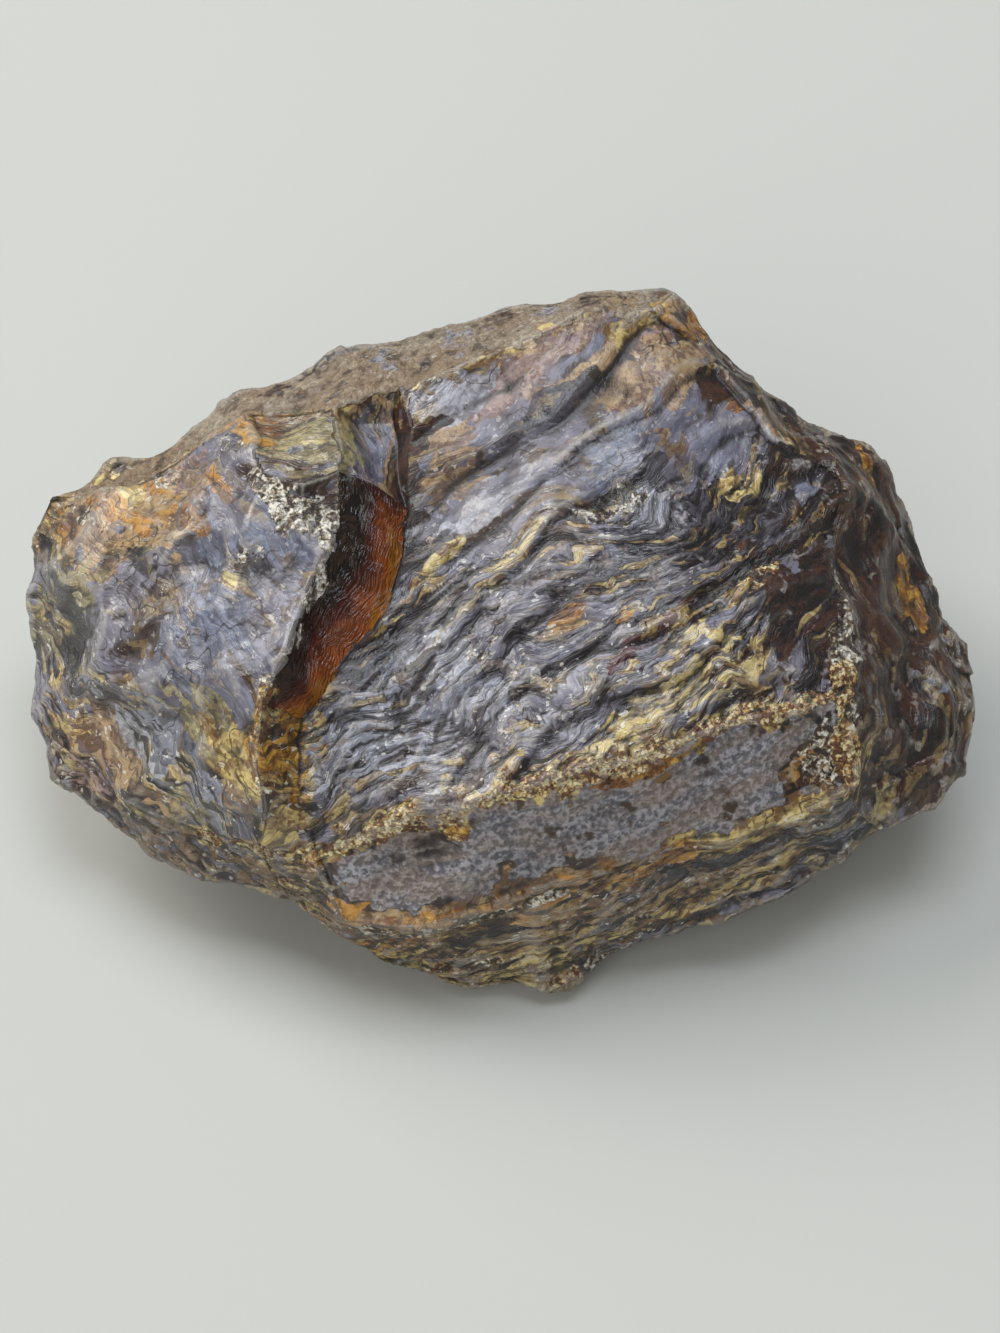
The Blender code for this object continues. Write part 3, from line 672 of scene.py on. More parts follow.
def shades(points, place, frames, places):
    """For each shade, how strong it is at each point: seams along lines, and patches that are
    long in the direction of the flow, all with ragged edges."""
    ragged = pattern("ragged", points)
    moved = points + wander(points, depth=2.2, size=8.0, seed=171)
    broken = np.clip(pattern("broken", points, 1.2), 0.2, 1.3)
    streaky = pattern("streaky", place)
    found = {shade: np.zeros(len(points)) for shade in PATCHES}
    for shade, seams in SEAMS.items():
        for path, width, *drop in seams:
            line = line_through(places, path)
            line[:, 2] -= sum(drop)
            gap = distance_to_line(moved, line) / (width * broken) + ragged
            found[shade] = np.maximum(found[shade], fading(gap, 1.3, 0.7))
    for shade, patches in PATCHES.items():
        strength = LACY if shade == "cream" else 1.0
        for spot in patches:
            gap = from_patch(points, frames, spot) + 0.55 * streaky + 0.25 * ragged
            found[shade] = np.maximum(found[shade], strength * fading(gap, 1.3, 0.6))
    return found


def settled(points, cells, shares, on_foot):
    """The cage's points smoothed inside each region and then a little everywhere, with the
    foot kept level."""
    inside = shares.max(1) > 0.999
    rounds = np.where(inside, by_region(SOFTENED)[shares.argmax(1)], 0)
    level = points[:, 2].copy()
    points = smoothed(points, cells, rounds)
    points = smoothed(points, cells, ROUNDED)
    points[:, 2] = np.where(on_foot, level, points[:, 2])
    return points


def torn_owners(points, wide):
    """The number of the region that each point follows. The border between two regions is
    torn by noise."""
    torn = wide.copy()
    for i in range(len(REGIONS)):
        near = (wide[:, i] > 0.03) & (wide[:, i] < 0.97)
        torn[near, i] += pattern("torn_regions", points[near], shift=i)
    return torn.argmax(1)


def ledge_glow(points, places):
    """How bright the painted glow of the clear ledge is, standing in for light that comes through
    it:
    the way from its crest to its foot, from 0 to 1, with noise added, less near its top, and up to
    0.5 more in each glowing spot."""
    from_crest = distance_to_line(points, line_through(places, LEDGE_CREST))
    from_foot = distance_to_line(points, line_through(places, LEDGE_FOOT))
    glow = pattern("glow", points, from_crest / (from_crest + from_foot))
    glow -= np.clip((points[:, 2] - GLOW_TOP) / 8, 0, 0.5)
    for spot in GLOWING:
        glow += 0.5 * np.exp(-((points - spot) ** 2).sum(1) / GLOW_SPOT ** 2)
    return glow


def layering(points, shares, soft, calm):
    """How clearly the edges of the flow layers show: as the region says, less where they lie
    calm, and fully on the lower part of the left block."""
    shown = (soft @ by_region(LAYERED)) * (1 - CALM_LAYERS * calm)
    low = fading(points[:, 2], LAYERED_BELOW, LAYERED_FADE)
    return np.maximum(shown, share_of("left_block", shares) * low)


def weathering(points, shares, found):
    """The masks of the crust, the sheen and the grey face, with torn edges. On the hidden
    faces the crust also comes and goes over a wide area."""
    torn = pattern("torn_crust", points)
    crust = shares @ by_region(CRUST)
    hidden = shares @ by_region(HIDDEN)
    masks = {"crust": crust + torn * (crust > 0.02) * (1 - 0.5 * hidden)}
    masks["crust"] += 1.7 * hidden * pattern("hidden_crust", points)
    masks["sheen"] = shares @ by_region(SHEEN) + 0.4 * torn
    masks["grey"] = share_of("grey_face", shares) + 0.8 * torn
    masks["grey"] -= found["orange"]
    masks["grey"] -= 0.6 * found["tan"]
    return masks


def amber_surface():
    """The lump's points and cells, the region that each point follows, its place in the flow
    and the strength of every mask there."""
    quads, region, places = cage_quads()
    points, cells = gridded(quads)
    region = np.repeat(region, CELLS * CELLS)
    shares = summed(cells, np.eye(len(REGIONS))[region], len(points))
    shares /= shares.sum(1, keepdims=True)
    on_foot = share_of("foot", shares) > 0
    points = settled(points, cells, shares, on_foot)
    normals = normals_of(points, cells)
    soft = smoothed(shares, cells, 3)
    wide = smoothed(soft, cells, 50)
    owner = torn_owners(points, wide)
    frames = flow_frames()[owner]
    place = flow_place(points, frames, by_region(FLOW_CURVE)[owner])
    found = shades(points, place, frames, places)
    calm = fading(np.min([from_patch(points, frames, spot) for spot in CALM], 0), 1.25, 0.5)
    crumbly = shares @ by_region(CRUMBLY) > 0.3
    seam = np.clip(found["cream"] + 0.5 * found["yellow"] * crumbly, 0, 1)
    depths = soft @ np.array([RELIEF[name] for name in REGIONS])
    depths[:, :ON_SOLID] = shares @ np.array([RELIEF[name][:ON_SOLID] for name in REGIONS])
    height, found["facet"] = relief(points, place, depths, seam, calm)
    moved = points + normals * height[:, None] + wander(points, BEND_DEPTH, BEND_SIZE, seed=201)
    moved = np.where(on_foot[:, None], points, moved)
    moved[:, 2] = np.where(on_foot, 0, np.maximum(moved[:, 2], GROUND_GAP))
    # Hollows, where painted shade goes.
    for label, (rounds, darkest) in HOLLOWS.items():
        found[label] = hollows(moved, cells, rounds) / darkest
    # Crests, the opposite of hollows, get a pale painted highlight.
    found["crest"] = -found["hollow"]
    found["glow"] = ledge_glow(points, places)
    found["layered"] = layering(points, shares, soft, calm)
    found |= weathering(moved, wide, found)
    return moved, cells, owner, place, found


# Colours in screen values. For each shade: where it is light, where it is deep, and how
# strongly it covers what is under it.
SHADE_COLOURS = {
    "pink": ((172, 146, 138), (112, 86, 76), 0.75),
    "tan": ((178, 148, 104), (102, 72, 42), 0.8),
    "olive": ((158, 146, 102), (88, 76, 46), 0.85),
    "blue": ((124, 130, 148), (88, 90, 106), 0.85),
    "pale": ((176, 178, 188), (118, 116, 122), 0.8),
    "dark": ((30, 25, 27), (72, 68, 74), 0.92),
    "yellow": ((212, 190, 120), (120, 86, 36), 0.85),
    "orange": ((186, 132, 44), (112, 68, 20), 0.85),
    "red": ((84, 24, 14), (36, 15, 13), 0.9),
    "brown": ((70, 41, 26), (17, 10, 8), 1.0),
}
COLOURS = {
    # the resin, and the blue-grey sheen over it: partly its own blue bloom, partly painted
    # reflection
    "resin": (34, 25, 23), "brown resin": (92, 68, 50),
    "deep sheen": (80, 80, 94), "light sheen": (132, 132, 149), "warm sheen": (124, 112, 106),
    # single flecks, and the painted highlights on the upper edges of the layers
    "light fleck": (206, 184, 118), "deep fleck": (126, 84, 44),
    "resin edge highlight": (150, 116, 74), "sheen edge highlight": (184, 183, 190),
    # the crust, and the grey face
    "crust": (116, 104, 88), "pale crust": (160, 148, 128), "crust grain": (92, 74, 54),
    "stained crust": (128, 96, 62), "crust pit": (62, 52, 46),
    "grey": (84, 84, 90), "pale grey": (152, 149, 152), "stained grey": (132, 110, 90),
    "grey pit": (72, 64, 62),
    # crumbs, on yellow seams and elsewhere, and the gaps between them
    "cream crumb": (226, 210, 164), "ochre crumb": (188, 146, 76), "brown crumb": (104, 64, 34),
    "white crumb": (226, 221, 206), "drab crumb": (146, 128, 94), "dark crumb": (60, 48, 42),
    "gap": (70, 52, 38),
    # golden edges and the veins in them
    "gold": (206, 158, 62), "deep gold": (134, 84, 24), "gold vein": (92, 50, 20),
    # marks over everything: slits (partly painted shade), cracks, painted glints, crests painted
    # pale as highlight, painted shade in hollows
    "slit": (26, 19, 21), "crack": (34, 27, 26), "glint": (232, 228, 216),
    "crest": (192, 186, 176), "hollow": (26, 19, 19), "deep hollow": (32, 24, 24),
    # the clear ledge, from its crest to its thin lower edge painted glowing, and the clouds in it
    "ledge crest": (40, 25, 18), "clouded crest": (96, 70, 46), "clear red": (112, 44, 22),
    "clear orange": (218, 112, 34), "clear gold": (250, 164, 44), "cloud": (54, 20, 13),
    "floor": (188, 189, 183),
}
AMBER_IOR = 1.54
CLEARNESS = 0.6                         # how much of the clear amber's light passes through
ABSORBED = (0.95, 0.42, 0.08, 1.0)      # the light that is left in thick clear amber
ABSORPTION = 36.0                       # how soon the rest is gone, per metre
ROUGH_BUMP = 0.0003                     # height of the finest relief, in metres
CLEAR_BUMP = 0.0004

# The masks held by each attribute of the mesh.
MASKS = {
    "ground": ["crust", "sheen", "grey"], "warm": ["pink", "tan", "olive"],
    "cool": ["blue", "pale", "dark"], "tone": ["yellow", "orange", "red"],
    "edge": ["cream", "crest", "hollow"], "form": ["deep", "facet", "layered"],
    "clear": ["glow", "brown", "golden"],
}


def linear(red, green, blue):
    """A colour given in screen values from 0 to 255, as the shader wants it."""
    screen = np.array([red, green, blue]) / 255
    value = np.where(screen <= 0.04045, screen / 12.92, ((screen + 0.055) / 1.055) ** 2.4)
    return (*(float(v) for v in value), 1.0)


class Nodes:
    """A shader node tree under construction, with short ways to add nodes."""

    def __init__(self, tree):
        self.tree = tree

    def put(self, value, socket):
        """Sets a socket to a number or a tuple, or links another socket to it."""
        if isinstance(value, (int, float, tuple)):
            socket.default_value = value
        else:
            self.tree.links.new(value, socket)

    def sum(self, kind, a, b=0.0):
        """The named sum of two numbers."""
        node = self.tree.nodes.new("ShaderNodeMath")
        node.operation = kind
        self.put(a, node.inputs[0])
        self.put(b, node.inputs[1])
        return node.outputs[0]

    def times(self, a, b):
        return self.sum("MULTIPLY", a, b)

    def plus(self, a, b):
        return self.sum("ADD", a, b)

    def minus(self, a, b):
        return self.sum("SUBTRACT", a, b)

    def most(self, a, b):
        return self.sum("MAXIMUM", a, b)

    def off_middle(self, value):
        """How far a value is from 0.5, either way."""
        return self.sum("ABSOLUTE", self.minus(value, 0.5))

    def scaled(self, vector, scale):
        """A vector multiplied by three numbers."""
        node = self.tree.nodes.new("ShaderNodeVectorMath")
        node.operation = "MULTIPLY"
        self.put(vector, node.inputs[0])
        node.inputs[1].default_value = scale
        return node.outputs[0]

    def noise(self, vector, scale, detail, roughness=0.55, flat=False, output="Fac"):
        """Noise in space, or flat noise in a plane."""
        node = self.tree.nodes.new("ShaderNodeTexNoise")
        node.noise_dimensions = "2D" if flat else "3D"
        node.inputs["Scale"].default_value = scale
        node.inputs["Detail"].default_value = detail
        node.inputs["Roughness"].default_value = roughness
        self.put(vector, node.inputs["Vector"])
        return node.outputs[output]

    def bent(self, vector, scale, depth, flat=False):
        """A vector moved about by noise."""
        moves = self.noise(vector, scale, 1.0, flat=flat, output="Color")
        node = self.tree.nodes.new("ShaderNodeVectorMath")
        node.operation = "MULTIPLY_ADD"
        self.put(moves, node.inputs[0])
        node.inputs[1].default_value = (depth, depth, depth)
        self.put(vector, node.inputs[2])
        return node.outputs[0]

    def grains(self, vector, scale):
        """A pattern of grains: the distance to a grain's middle, and the grain's colour."""
        node = self.tree.nodes.new("ShaderNodeTexVoronoi")
        node.inputs["Scale"].default_value = scale
        self.put(vector, node.inputs["Vector"])
        return node.outputs["Distance"], self.parts(node.outputs["Color"])

    def slivers(self, place):
        """Long cells side by side: the distance to a cell's middle, the way across the cell
        from about 0 to 1, and the cell's colour."""
        node = self.tree.nodes.new("ShaderNodeTexVoronoi")
        node.voronoi_dimensions = "2D"
        node.inputs["Scale"].default_value = 1.0
        self.put(place, node.inputs["Vector"])
        offset = self.tree.nodes.new("ShaderNodeVectorMath")
        offset.operation = "SUBTRACT"
        self.put(place, offset.inputs[0])
        self.put(node.outputs["Position"], offset.inputs[1])
        across = self.plus(self.parts(offset.outputs[0])[1], 0.5)
        return node.outputs["Distance"], across, self.parts(node.outputs["Color"])

    def parts(self, colour):
        """The three parts of a colour or a vector."""
        node = self.tree.nodes.new("ShaderNodeSeparateColor")
        self.put(colour, node.inputs[0])
        return node.outputs[0], node.outputs[1], node.outputs[2]

    def spread(self, value, low, high):
        """A value between low and high spread out smoothly from 0 to 1."""
        node = self.tree.nodes.new("ShaderNodeMapRange")
        node.interpolation_type = "SMOOTHSTEP"
        node.inputs["From Min"].default_value = low
        node.inputs["From Max"].default_value = high
        self.put(value, node.inputs["Value"])
        return node.outputs["Result"]

    def mix(self, factor, a, b):
        """Two colours mixed: a at 0 and b at 1. A colour is a socket, a tuple or a name."""
        node = self.tree.nodes.new("ShaderNodeMix")
        node.data_type = "RGBA"
        self.put(factor, node.inputs[0])
        for colour, socket in ((a, node.inputs[6]), (b, node.inputs[7])):
            self.put(linear(*COLOURS[colour]) if isinstance(colour, str) else colour, socket)
        return node.outputs[2]

    def blend(self, factor, a, b):
        """Two numbers mixed: a at 0 and b at 1."""
        node = self.tree.nodes.new("ShaderNodeMix")
        self.put(factor, node.inputs[0])
        self.put(a, node.inputs[2])
        self.put(b, node.inputs[3])
        return node.outputs[0]

    def attribute(self, name):
        """An attribute of the mesh, as a vector and as the three parts of a colour."""
        node = self.tree.nodes.new("ShaderNodeAttribute")
        node.attribute_name = name
        return node.outputs["Vector"], self.parts(node.outputs["Color"])

    def placed(self, group, **values):
        """A node group with its inputs set or linked by name."""
        node = self.tree.nodes.new("ShaderNodeGroup")
        node.node_tree = group
        for label, value in values.items():
            self.put(value, node.inputs[label])
        return node.outputs

    def bumped(self, height, distance, strength, shader):
        """Gives the shader a bump with this height."""
        bump = self.tree.nodes.new("ShaderNodeBump")
        bump.inputs["Distance"].default_value = distance
        bump.inputs["Strength"].default_value = strength
        self.put(height, bump.inputs["Height"])
        self.put(bump.outputs["Normal"], shader.inputs["Normal"])


def new_group(name, inputs, outputs):
    """A new node group: its nodes, its input sockets and its output sockets."""
    tree = bpy.data.node_groups.new(name, "ShaderNodeTree")
    for label, kind in inputs:
        tree.interface.new_socket(label, in_out="INPUT", socket_type=kind)
    for label in outputs:
        tree.interface.new_socket(label, in_out="OUTPUT", socket_type="NodeSocketFloat")
    source = tree.nodes.new("NodeGroupInput").outputs
    return Nodes(tree), source, tree.nodes.new("NodeGroupOutput").inputs


def flow_group():
    """Flow layers in two sizes, like shingles: long cells bent by noise, each with a tone, the
    way across it and the slit under its edge; and striations, broad zones and single flecks."""
    n, source, result = new_group(
        "flow_layers", [("Place", "NodeSocketVector")],
        ["Tone", "Across", "Slit", "Fine tone", "Fine across", "Fine slit", "Striation",
         "Broad", "Fleck"])
    place = n.bent(source["Place"], 0.3, 2.2, flat=True)
    away, across, tones = n.slivers(n.scaled(place, (0.12, 0.55, 0.45)))
    n.put(tones[0], result["Tone"])
    n.put(across, result["Across"])
    edge = n.minus(1.0, n.spread(across, 0.06, 0.28))
    n.put(n.most(edge, n.spread(away, 0.62, 0.8)), result["Slit"])
    fine = n.scaled(n.bent(place, 0.9, 0.7, flat=True), (0.3, 1.45, 1.2))
    away, across, tones = n.slivers(fine)
    n.put(tones[1], result["Fine tone"])
    n.put(across, result["Fine across"])
    edge = n.minus(1.0, n.spread(across, 0.03, 0.28))
    n.put(n.most(edge, n.spread(away, 0.6, 0.78)), result["Fine slit"])
    lines = n.noise(n.scaled(place, (0.5, 3.4, 2.6)), 1.0, 2.0, 0.6, flat=True)
    n.put(n.spread(lines, 0.32, 0.68), result["Striation"])
    broad = n.noise(n.scaled(place, (0.1, 0.28, 0.28)), 1.0, 2.0, 0.6, flat=True)
    n.put(n.spread(broad, 0.36, 0.64), result["Broad"])
    n.put(n.times(n.spread(tones[2], 0.74, 0.8), n.spread(broad, 0.6, 0.42)), result["Fleck"])
    return n.tree


def crumbs_group():
    """Crumbs: two tones for each, and the dark gaps between them."""
    n, source, result = new_group(
        "crumbs", [("Place", "NodeSocketVector")], ["Tone", "Gap", "Fine tone"])
    away, tones = n.grains(n.bent(source["Place"], 1300.0, 0.0011), 1900.0)
    n.put(tones[0], result["Tone"])
    n.put(n.spread(away, 0.5, 0.75), result["Gap"])
    n.put(tones[1], result["Fine tone"])
    return n.tree


def speckle_group():
    """Speckle in three sizes; and thin cracks where another noise passes its middle value, in
    the light parts of the broad speckle only."""
    n, source, result = new_group(
        "speckle", [("Place", "NodeSocketVector")], ["Broad", "Coarse", "Fine", "Crack"])
    where = source["Place"]
    off = n.off_middle(n.noise(where, 170.0, 2.0, 0.65))
    sizes = {"Broad": (110.0, 1.0), "Coarse": (420.0, 2.0), "Fine": (1500.0, 1.0)}
    speckle = {label: n.spread(n.noise(where, scale, detail, 0.6), 0.33, 0.67)
               for label, (scale, detail) in sizes.items()}
    for label, value in speckle.items():
        n.put(value, result[label])
    crack = n.minus(1.0, n.spread(off, 0.004, 0.014))
    n.put(n.times(crack, n.spread(speckle["Broad"], 0.35, 0.7)), result["Crack"])
    return n.tree


def ragged_group():
    """A soft mask with its edge torn by noise: noise about 0 is added, then it is sharpened."""
    n, source, result = new_group(
        "ragged", [("Mask", "NodeSocketFloat"), ("Tear", "NodeSocketFloat")], ["Mask"])
    torn = n.plus(source["Mask"], n.times(n.minus(source["Tear"], 0.5), 0.9))
    here = n.spread(source["Mask"], 0.0, 0.12)
    n.put(n.times(n.spread(torn, 0.38, 0.62), here), result["Mask"])
    return n.tree


class AmberNodes(Nodes):
    """The nodes of rough amber, with its patterns and the masks of the mesh at hand."""

    def __init__(self, tree, groups):
        super().__init__(tree)
        self.ragged = groups["ragged"]
        where = tree.nodes.new("ShaderNodeTexCoord").outputs["Object"]
        self.flow = self.placed(groups["flow"], Place=self.attribute("flow")[0])
        self.crumb = self.placed(groups["crumbs"], Place=where)
        self.speckle = self.placed(groups["speckle"], Place=where)
        self.mask = {}
        for name, labels in MASKS.items():
            self.mask.update(zip(labels, self.attribute(name)[1]))
        coarse = self.speckle["Coarse"]
        self.layered = self.mask["layered"]
        self.local = self.blend(self.layered, self.mask["facet"], self.flow["Fine tone"])
        self.mixed = self.spread(self.blend(0.35, self.local, self.crumb["Tone"]), 0.25, 0.75)
        self.crust = self.torn("crust", coarse)
        self.grey = self.torn("grey", coarse)
        self.cream = self.torn("cream", self.blend(0.5, self.crumb["Tone"], coarse))
        self.matteness = self.most(self.most(self.crust, self.grey), self.times(self.cream, 0.7))

    def torn(self, label, tear):
        """A mask of the mesh with its edge torn."""
        return self.placed(self.ragged, Mask=self.mask[label], Tear=tear)["Mask"]


# The blue-grey sheen is partly the amber's own blue bloom and partly painted reflection of the
# sky.
def with_sheen(n):
    """The resin itself under the blue-grey sheen of its glossy layers, and the sheen's mask."""
    flow, facet, coarse = n.flow, n.mask["facet"], n.speckle["Coarse"]
    body = n.mix(n.blend(0.5, flow["Fine tone"], coarse), "resin", "brown resin")
    streaks = n.blend(0.45, n.blend(0.35, flow["Tone"], facet), flow["Fine tone"])
    tone = n.blend(n.layered, n.blend(0.3, facet, coarse), streaks)
    bluish = n.mix(n.spread(tone, 0.1, 0.9), "deep sheen", "light sheen")
    bluish = n.mix(n.times(n.speckle["Broad"], 0.28), bluish, "warm sheen")
    shining = n.spread(n.plus(flow["Broad"], tone), 0.2, 0.75)
    sheen = n.times(n.torn("sheen", flow["Broad"]), shining)
    return n.mix(n.times(sheen, 0.92), body, bluish), sheen


def with_shades(n, colour):
    """The shades over the resin, with single flecks on them, and the mask of the deepest."""
    tear = n.blend(0.4, n.local, n.speckle["Coarse"])
    deepest = 0.0
    for shade, (light, deep, cover) in SHADE_COLOURS.items():
        own = n.mix(n.mixed, linear(*light), linear(*deep))
        here = n.torn(shade, tear)
        colour = n.mix(n.times(here, cover), colour, own)
        if shade in ("dark", "brown"):
            deepest = n.most(deepest, here)
    fleck = n.mix(n.crumb["Tone"], "light fleck", "deep fleck")
    return n.mix(n.times(n.flow["Fleck"], n.times(n.layered, 0.8)), colour, fleck), deepest


def with_lit_edges(n, colour, sheen, deepest):
    """Painted highlight: each layer shaded from a lit upper edge to the dark slit under its lower
    edge.
    """
    ledge = n.blend(0.45, n.flow["Across"], n.flow["Fine across"])
    lit = n.mix(sheen, "resin edge highlight", "sheen edge highlight")
    bright = n.times(n.blend(deepest, 0.36, 0.1), n.spread(ledge, 0.66, 0.95))
    return n.mix(n.times(bright, n.layered), colour, lit)


def with_crust(n, colour):
    """The weathered crust and the grey face, both speckled, stained and pitted."""
    coarse, fine = n.speckle["Coarse"], n.speckle["Fine"]
    matte = n.mix(coarse, "crust", "pale crust")
    matte = n.mix(n.times(fine, 0.5), matte, "crust grain")
    matte = n.mix(n.times(n.speckle["Broad"], 0.45), matte, "stained crust")
    matte = n.mix(n.times(n.spread(coarse, 0.35, 0.1), 0.6), matte, "crust pit")
    greyish = n.mix(fine, "grey", "pale grey")
    greyish = n.mix(n.times(n.flow["Broad"], 0.5), greyish, "stained grey")
    greyish = n.mix(n.times(n.spread(coarse, 0.4, 0.1), 0.35), greyish, "grey pit")
    return n.mix(n.grey, n.mix(n.crust, colour, matte), greyish)


def with_crumbs(n, colour):
    """Crumbs of three tones with gaps between them: warm on yellow seams, white elsewhere."""
    coarse, fine, tone = n.speckle["Coarse"], n.speckle["Fine"], n.crumb["Tone"]
    lace = n.times(n.off_middle(coarse), 2.0)
    grain = n.blend(0.5, n.blend(0.45, tone, coarse), fine)
    grain = n.blend(0.3, grain, n.blend(0.4, lace, fine))
    warm = n.mix(n.spread(grain, 0.34, 0.5), "cream crumb", "ochre crumb")
    warm = n.mix(n.spread(grain, 0.52, 0.64), warm, "brown crumb")
    lacy = n.blend(0.45, lace, fine)
    white = n.mix(n.spread(lacy, 0.4, 0.56), "white crumb", "drab crumb")
    white = n.mix(n.spread(lacy, 0.56, 0.72), white, "dark crumb")
    pale = n.mix(n.spread(n.mask["yellow"], 0.1, 0.4), white, warm)
    pale = n.mix(n.times(n.crumb["Gap"], 0.5), pale, "gap")
    return n.mix(n.times(n.cream, 0.9), colour, pale)


def with_gold(n, colour):
    """Golden edges with dark veins."""
    coarse = n.speckle["Coarse"]
    golden = n.mix(n.mixed, "gold", "deep gold")
    golden = n.mix(n.times(n.spread(coarse, 0.55, 0.85), 0.7), golden, "gold vein")
    return n.mix(n.times(n.torn("golden", coarse), 0.9), colour, golden)


def with_slits(n, colour):
    """Dark slits under the edges of the layers, partly gaps and partly painted shade, and cracks
    on glossy faces.
    """
    flow = n.flow
    slit = n.times(flow["Slit"], n.spread(flow["Fine tone"], 0.12, 0.4))
    fine_slit = n.times(flow["Fine slit"], n.spread(flow["Tone"], 0.2, 0.55))
    slits = n.times(n.most(slit, n.times(fine_slit, 0.9)), n.layered)
    colour = n.mix(n.times(slits, n.blend(n.matteness, 0.95, 0.35)), colour, "slit")
    glossy = n.blend(n.matteness, n.blend(n.layered, 0.9, 0.5), 0.1)
    return n.mix(n.times(n.speckle["Crack"], glossy), colour, "crack")


def with_crests(n, colour, deepest):
    """Painted glints, and crests painted pale, partly worn crumbly edges and partly painted
    highlight. Both are faint on the deepest shades.
    """
    shining = n.spread(n.flow["Striation"], 0.5, 0.7)
    glint = n.times(n.spread(n.crumb["Fine tone"], 0.9, 0.94), shining)
    glint = n.times(glint, n.minus(1.0, deepest))
    colour = n.mix(n.times(glint, n.blend(n.layered, 0.15, 0.6)), colour, "glint")
    crest = n.spread(n.mask["crest"], 0.3, 1.0)
    return n.mix(n.times(crest, n.blend(deepest, 0.28, 0.04)), colour, "crest")


def with_hollow_shade(n, colour):
    """Painted shade in the hollows, small and large, less on the crust."""
    bare = n.blend(n.crust, 0.85, 0.45)
    colour = n.mix(n.times(n.spread(n.mask["hollow"], 0.1, 0.9), bare), colour, "hollow")
    deep = n.times(n.spread(n.mask["deep"], 0.2, 1.0), n.times(bare, 0.7))
    return n.mix(deep, colour, "deep hollow")


def rough_height(n):
    """The height of the finest relief: flow layers, grains of the crust and crumbs."""
    flow, speckle, crumb = n.flow, n.speckle, n.crumb
    layers = n.plus(n.times(flow["Across"], 0.9), n.times(flow["Fine across"], 0.5))
    layers = n.plus(layers, n.plus(n.times(flow["Tone"], 0.8), n.times(flow["Fine tone"], 0.4)))
    layers = n.plus(layers, n.times(flow["Striation"], 0.25))
    layers = n.times(layers, n.times(n.layered, n.blend(n.matteness, 1.0, 0.12)))
    grains = n.times(n.plus(speckle["Fine"], speckle["Coarse"]), n.blend(n.matteness, 0.1, 0.7))
    crumbly = n.most(n.cream, n.times(n.crust, 0.3))
    crumbs = n.times(n.minus(crumb["Tone"], crumb["Gap"]), crumbly)
    return n.plus(n.plus(layers, grains), crumbs)


def new_material(name):
    """A new material and its shader."""
    made = bpy.data.materials.new(name)
    made.use_nodes = True
    return made, made.node_tree.nodes["Principled BSDF"]


def rough_amber(groups):
    """Opaque raw amber: dark glossy resin with a blue-grey sheen, crumbs, slits and crust."""
    made, shader = new_material("rough_amber")
    n = AmberNodes(made.node_tree, groups)
    colour, sheen = with_sheen(n)
    colour, deepest = with_shades(n, colour)
    colour = with_lit_edges(n, colour, sheen, deepest)
    for lay in (with_crust, with_crumbs, with_gold, with_slits):
        colour = lay(n, colour)
    colour = with_hollow_shade(n, with_crests(n, colour, deepest))
    n.put(colour, shader.inputs["Base Color"])
    glossy = n.plus(n.blend(n.flow["Fine tone"], 0.14, 0.34), n.blend(n.layered, 0.2, 0.0))
    n.put(n.blend(n.matteness, glossy, 0.75), shader.inputs["Roughness"])
    n.put(n.blend(n.matteness, n.blend(n.layered, 0.1, 0.3), 0.0), shader.inputs["Coat Weight"])
    shader.inputs["Coat Roughness"].default_value = 0.08
    shader.inputs["IOR"].default_value = AMBER_IOR
    n.bumped(rough_height(n), ROUGH_BUMP, 0.8, shader)
    return made


def clear_amber(groups):
    """Clear red amber, painted dark where it is deep and glowing orange towards its thin lower
    edge.
    """
    made, shader = new_material("clear_amber")
    n = Nodes(made.node_tree)
    where = n.tree.nodes.new("ShaderNodeTexCoord").outputs["Object"]
    flow = n.placed(groups["flow"], Place=n.attribute("flow")[0])
    speckle = n.placed(groups["speckle"], Place=where)
    glow = n.attribute("clear")[1][MASKS["clear"].index("glow")]
    mottle = n.blend(0.5, flow["Striation"], speckle["Coarse"])
    colour = n.mix(n.spread(mottle, 0.3, 0.8), "ledge crest", "clouded crest")
    colour = n.mix(n.spread(glow, 0.22, 0.46), colour, "clear red")
    colour = n.mix(n.spread(glow, 0.42, 0.76), colour, "clear orange")
    colour = n.mix(n.spread(glow, 0.86, 1.1), colour, "clear gold")
    colour = n.mix(n.times(n.spread(mottle, 0.35, 0.75), 0.45), colour, "cloud")
    n.put(colour, shader.inputs["Base Color"])
    n.bumped(mottle, CLEAR_BUMP, 0.7, shader)
    shader.inputs["Roughness"].default_value = 0.2
    shader.inputs["IOR"].default_value = AMBER_IOR
    shader.inputs["Transmission Weight"].default_value = CLEARNESS
    absorb = n.tree.nodes.new("ShaderNodeVolumeAbsorption")
    absorb.inputs["Color"].default_value = ABSORBED
    absorb.inputs["Density"].default_value = ABSORPTION
    n.put(absorb.outputs[0], n.tree.nodes["Material Output"].inputs["Volume"])
    return made


def add_mask(mesh, name, layers):
    """Three masks stored as one colour attribute on the points."""
    values = np.ones((len(layers[0]), 4))
    values[:, :3] = np.clip(np.stack(layers, -1), 0, 1)
    attribute = mesh.attributes.new(name, "FLOAT_COLOR", "POINT")
    attribute.data.foreach_set("color", values.ravel().astype(np.float32))


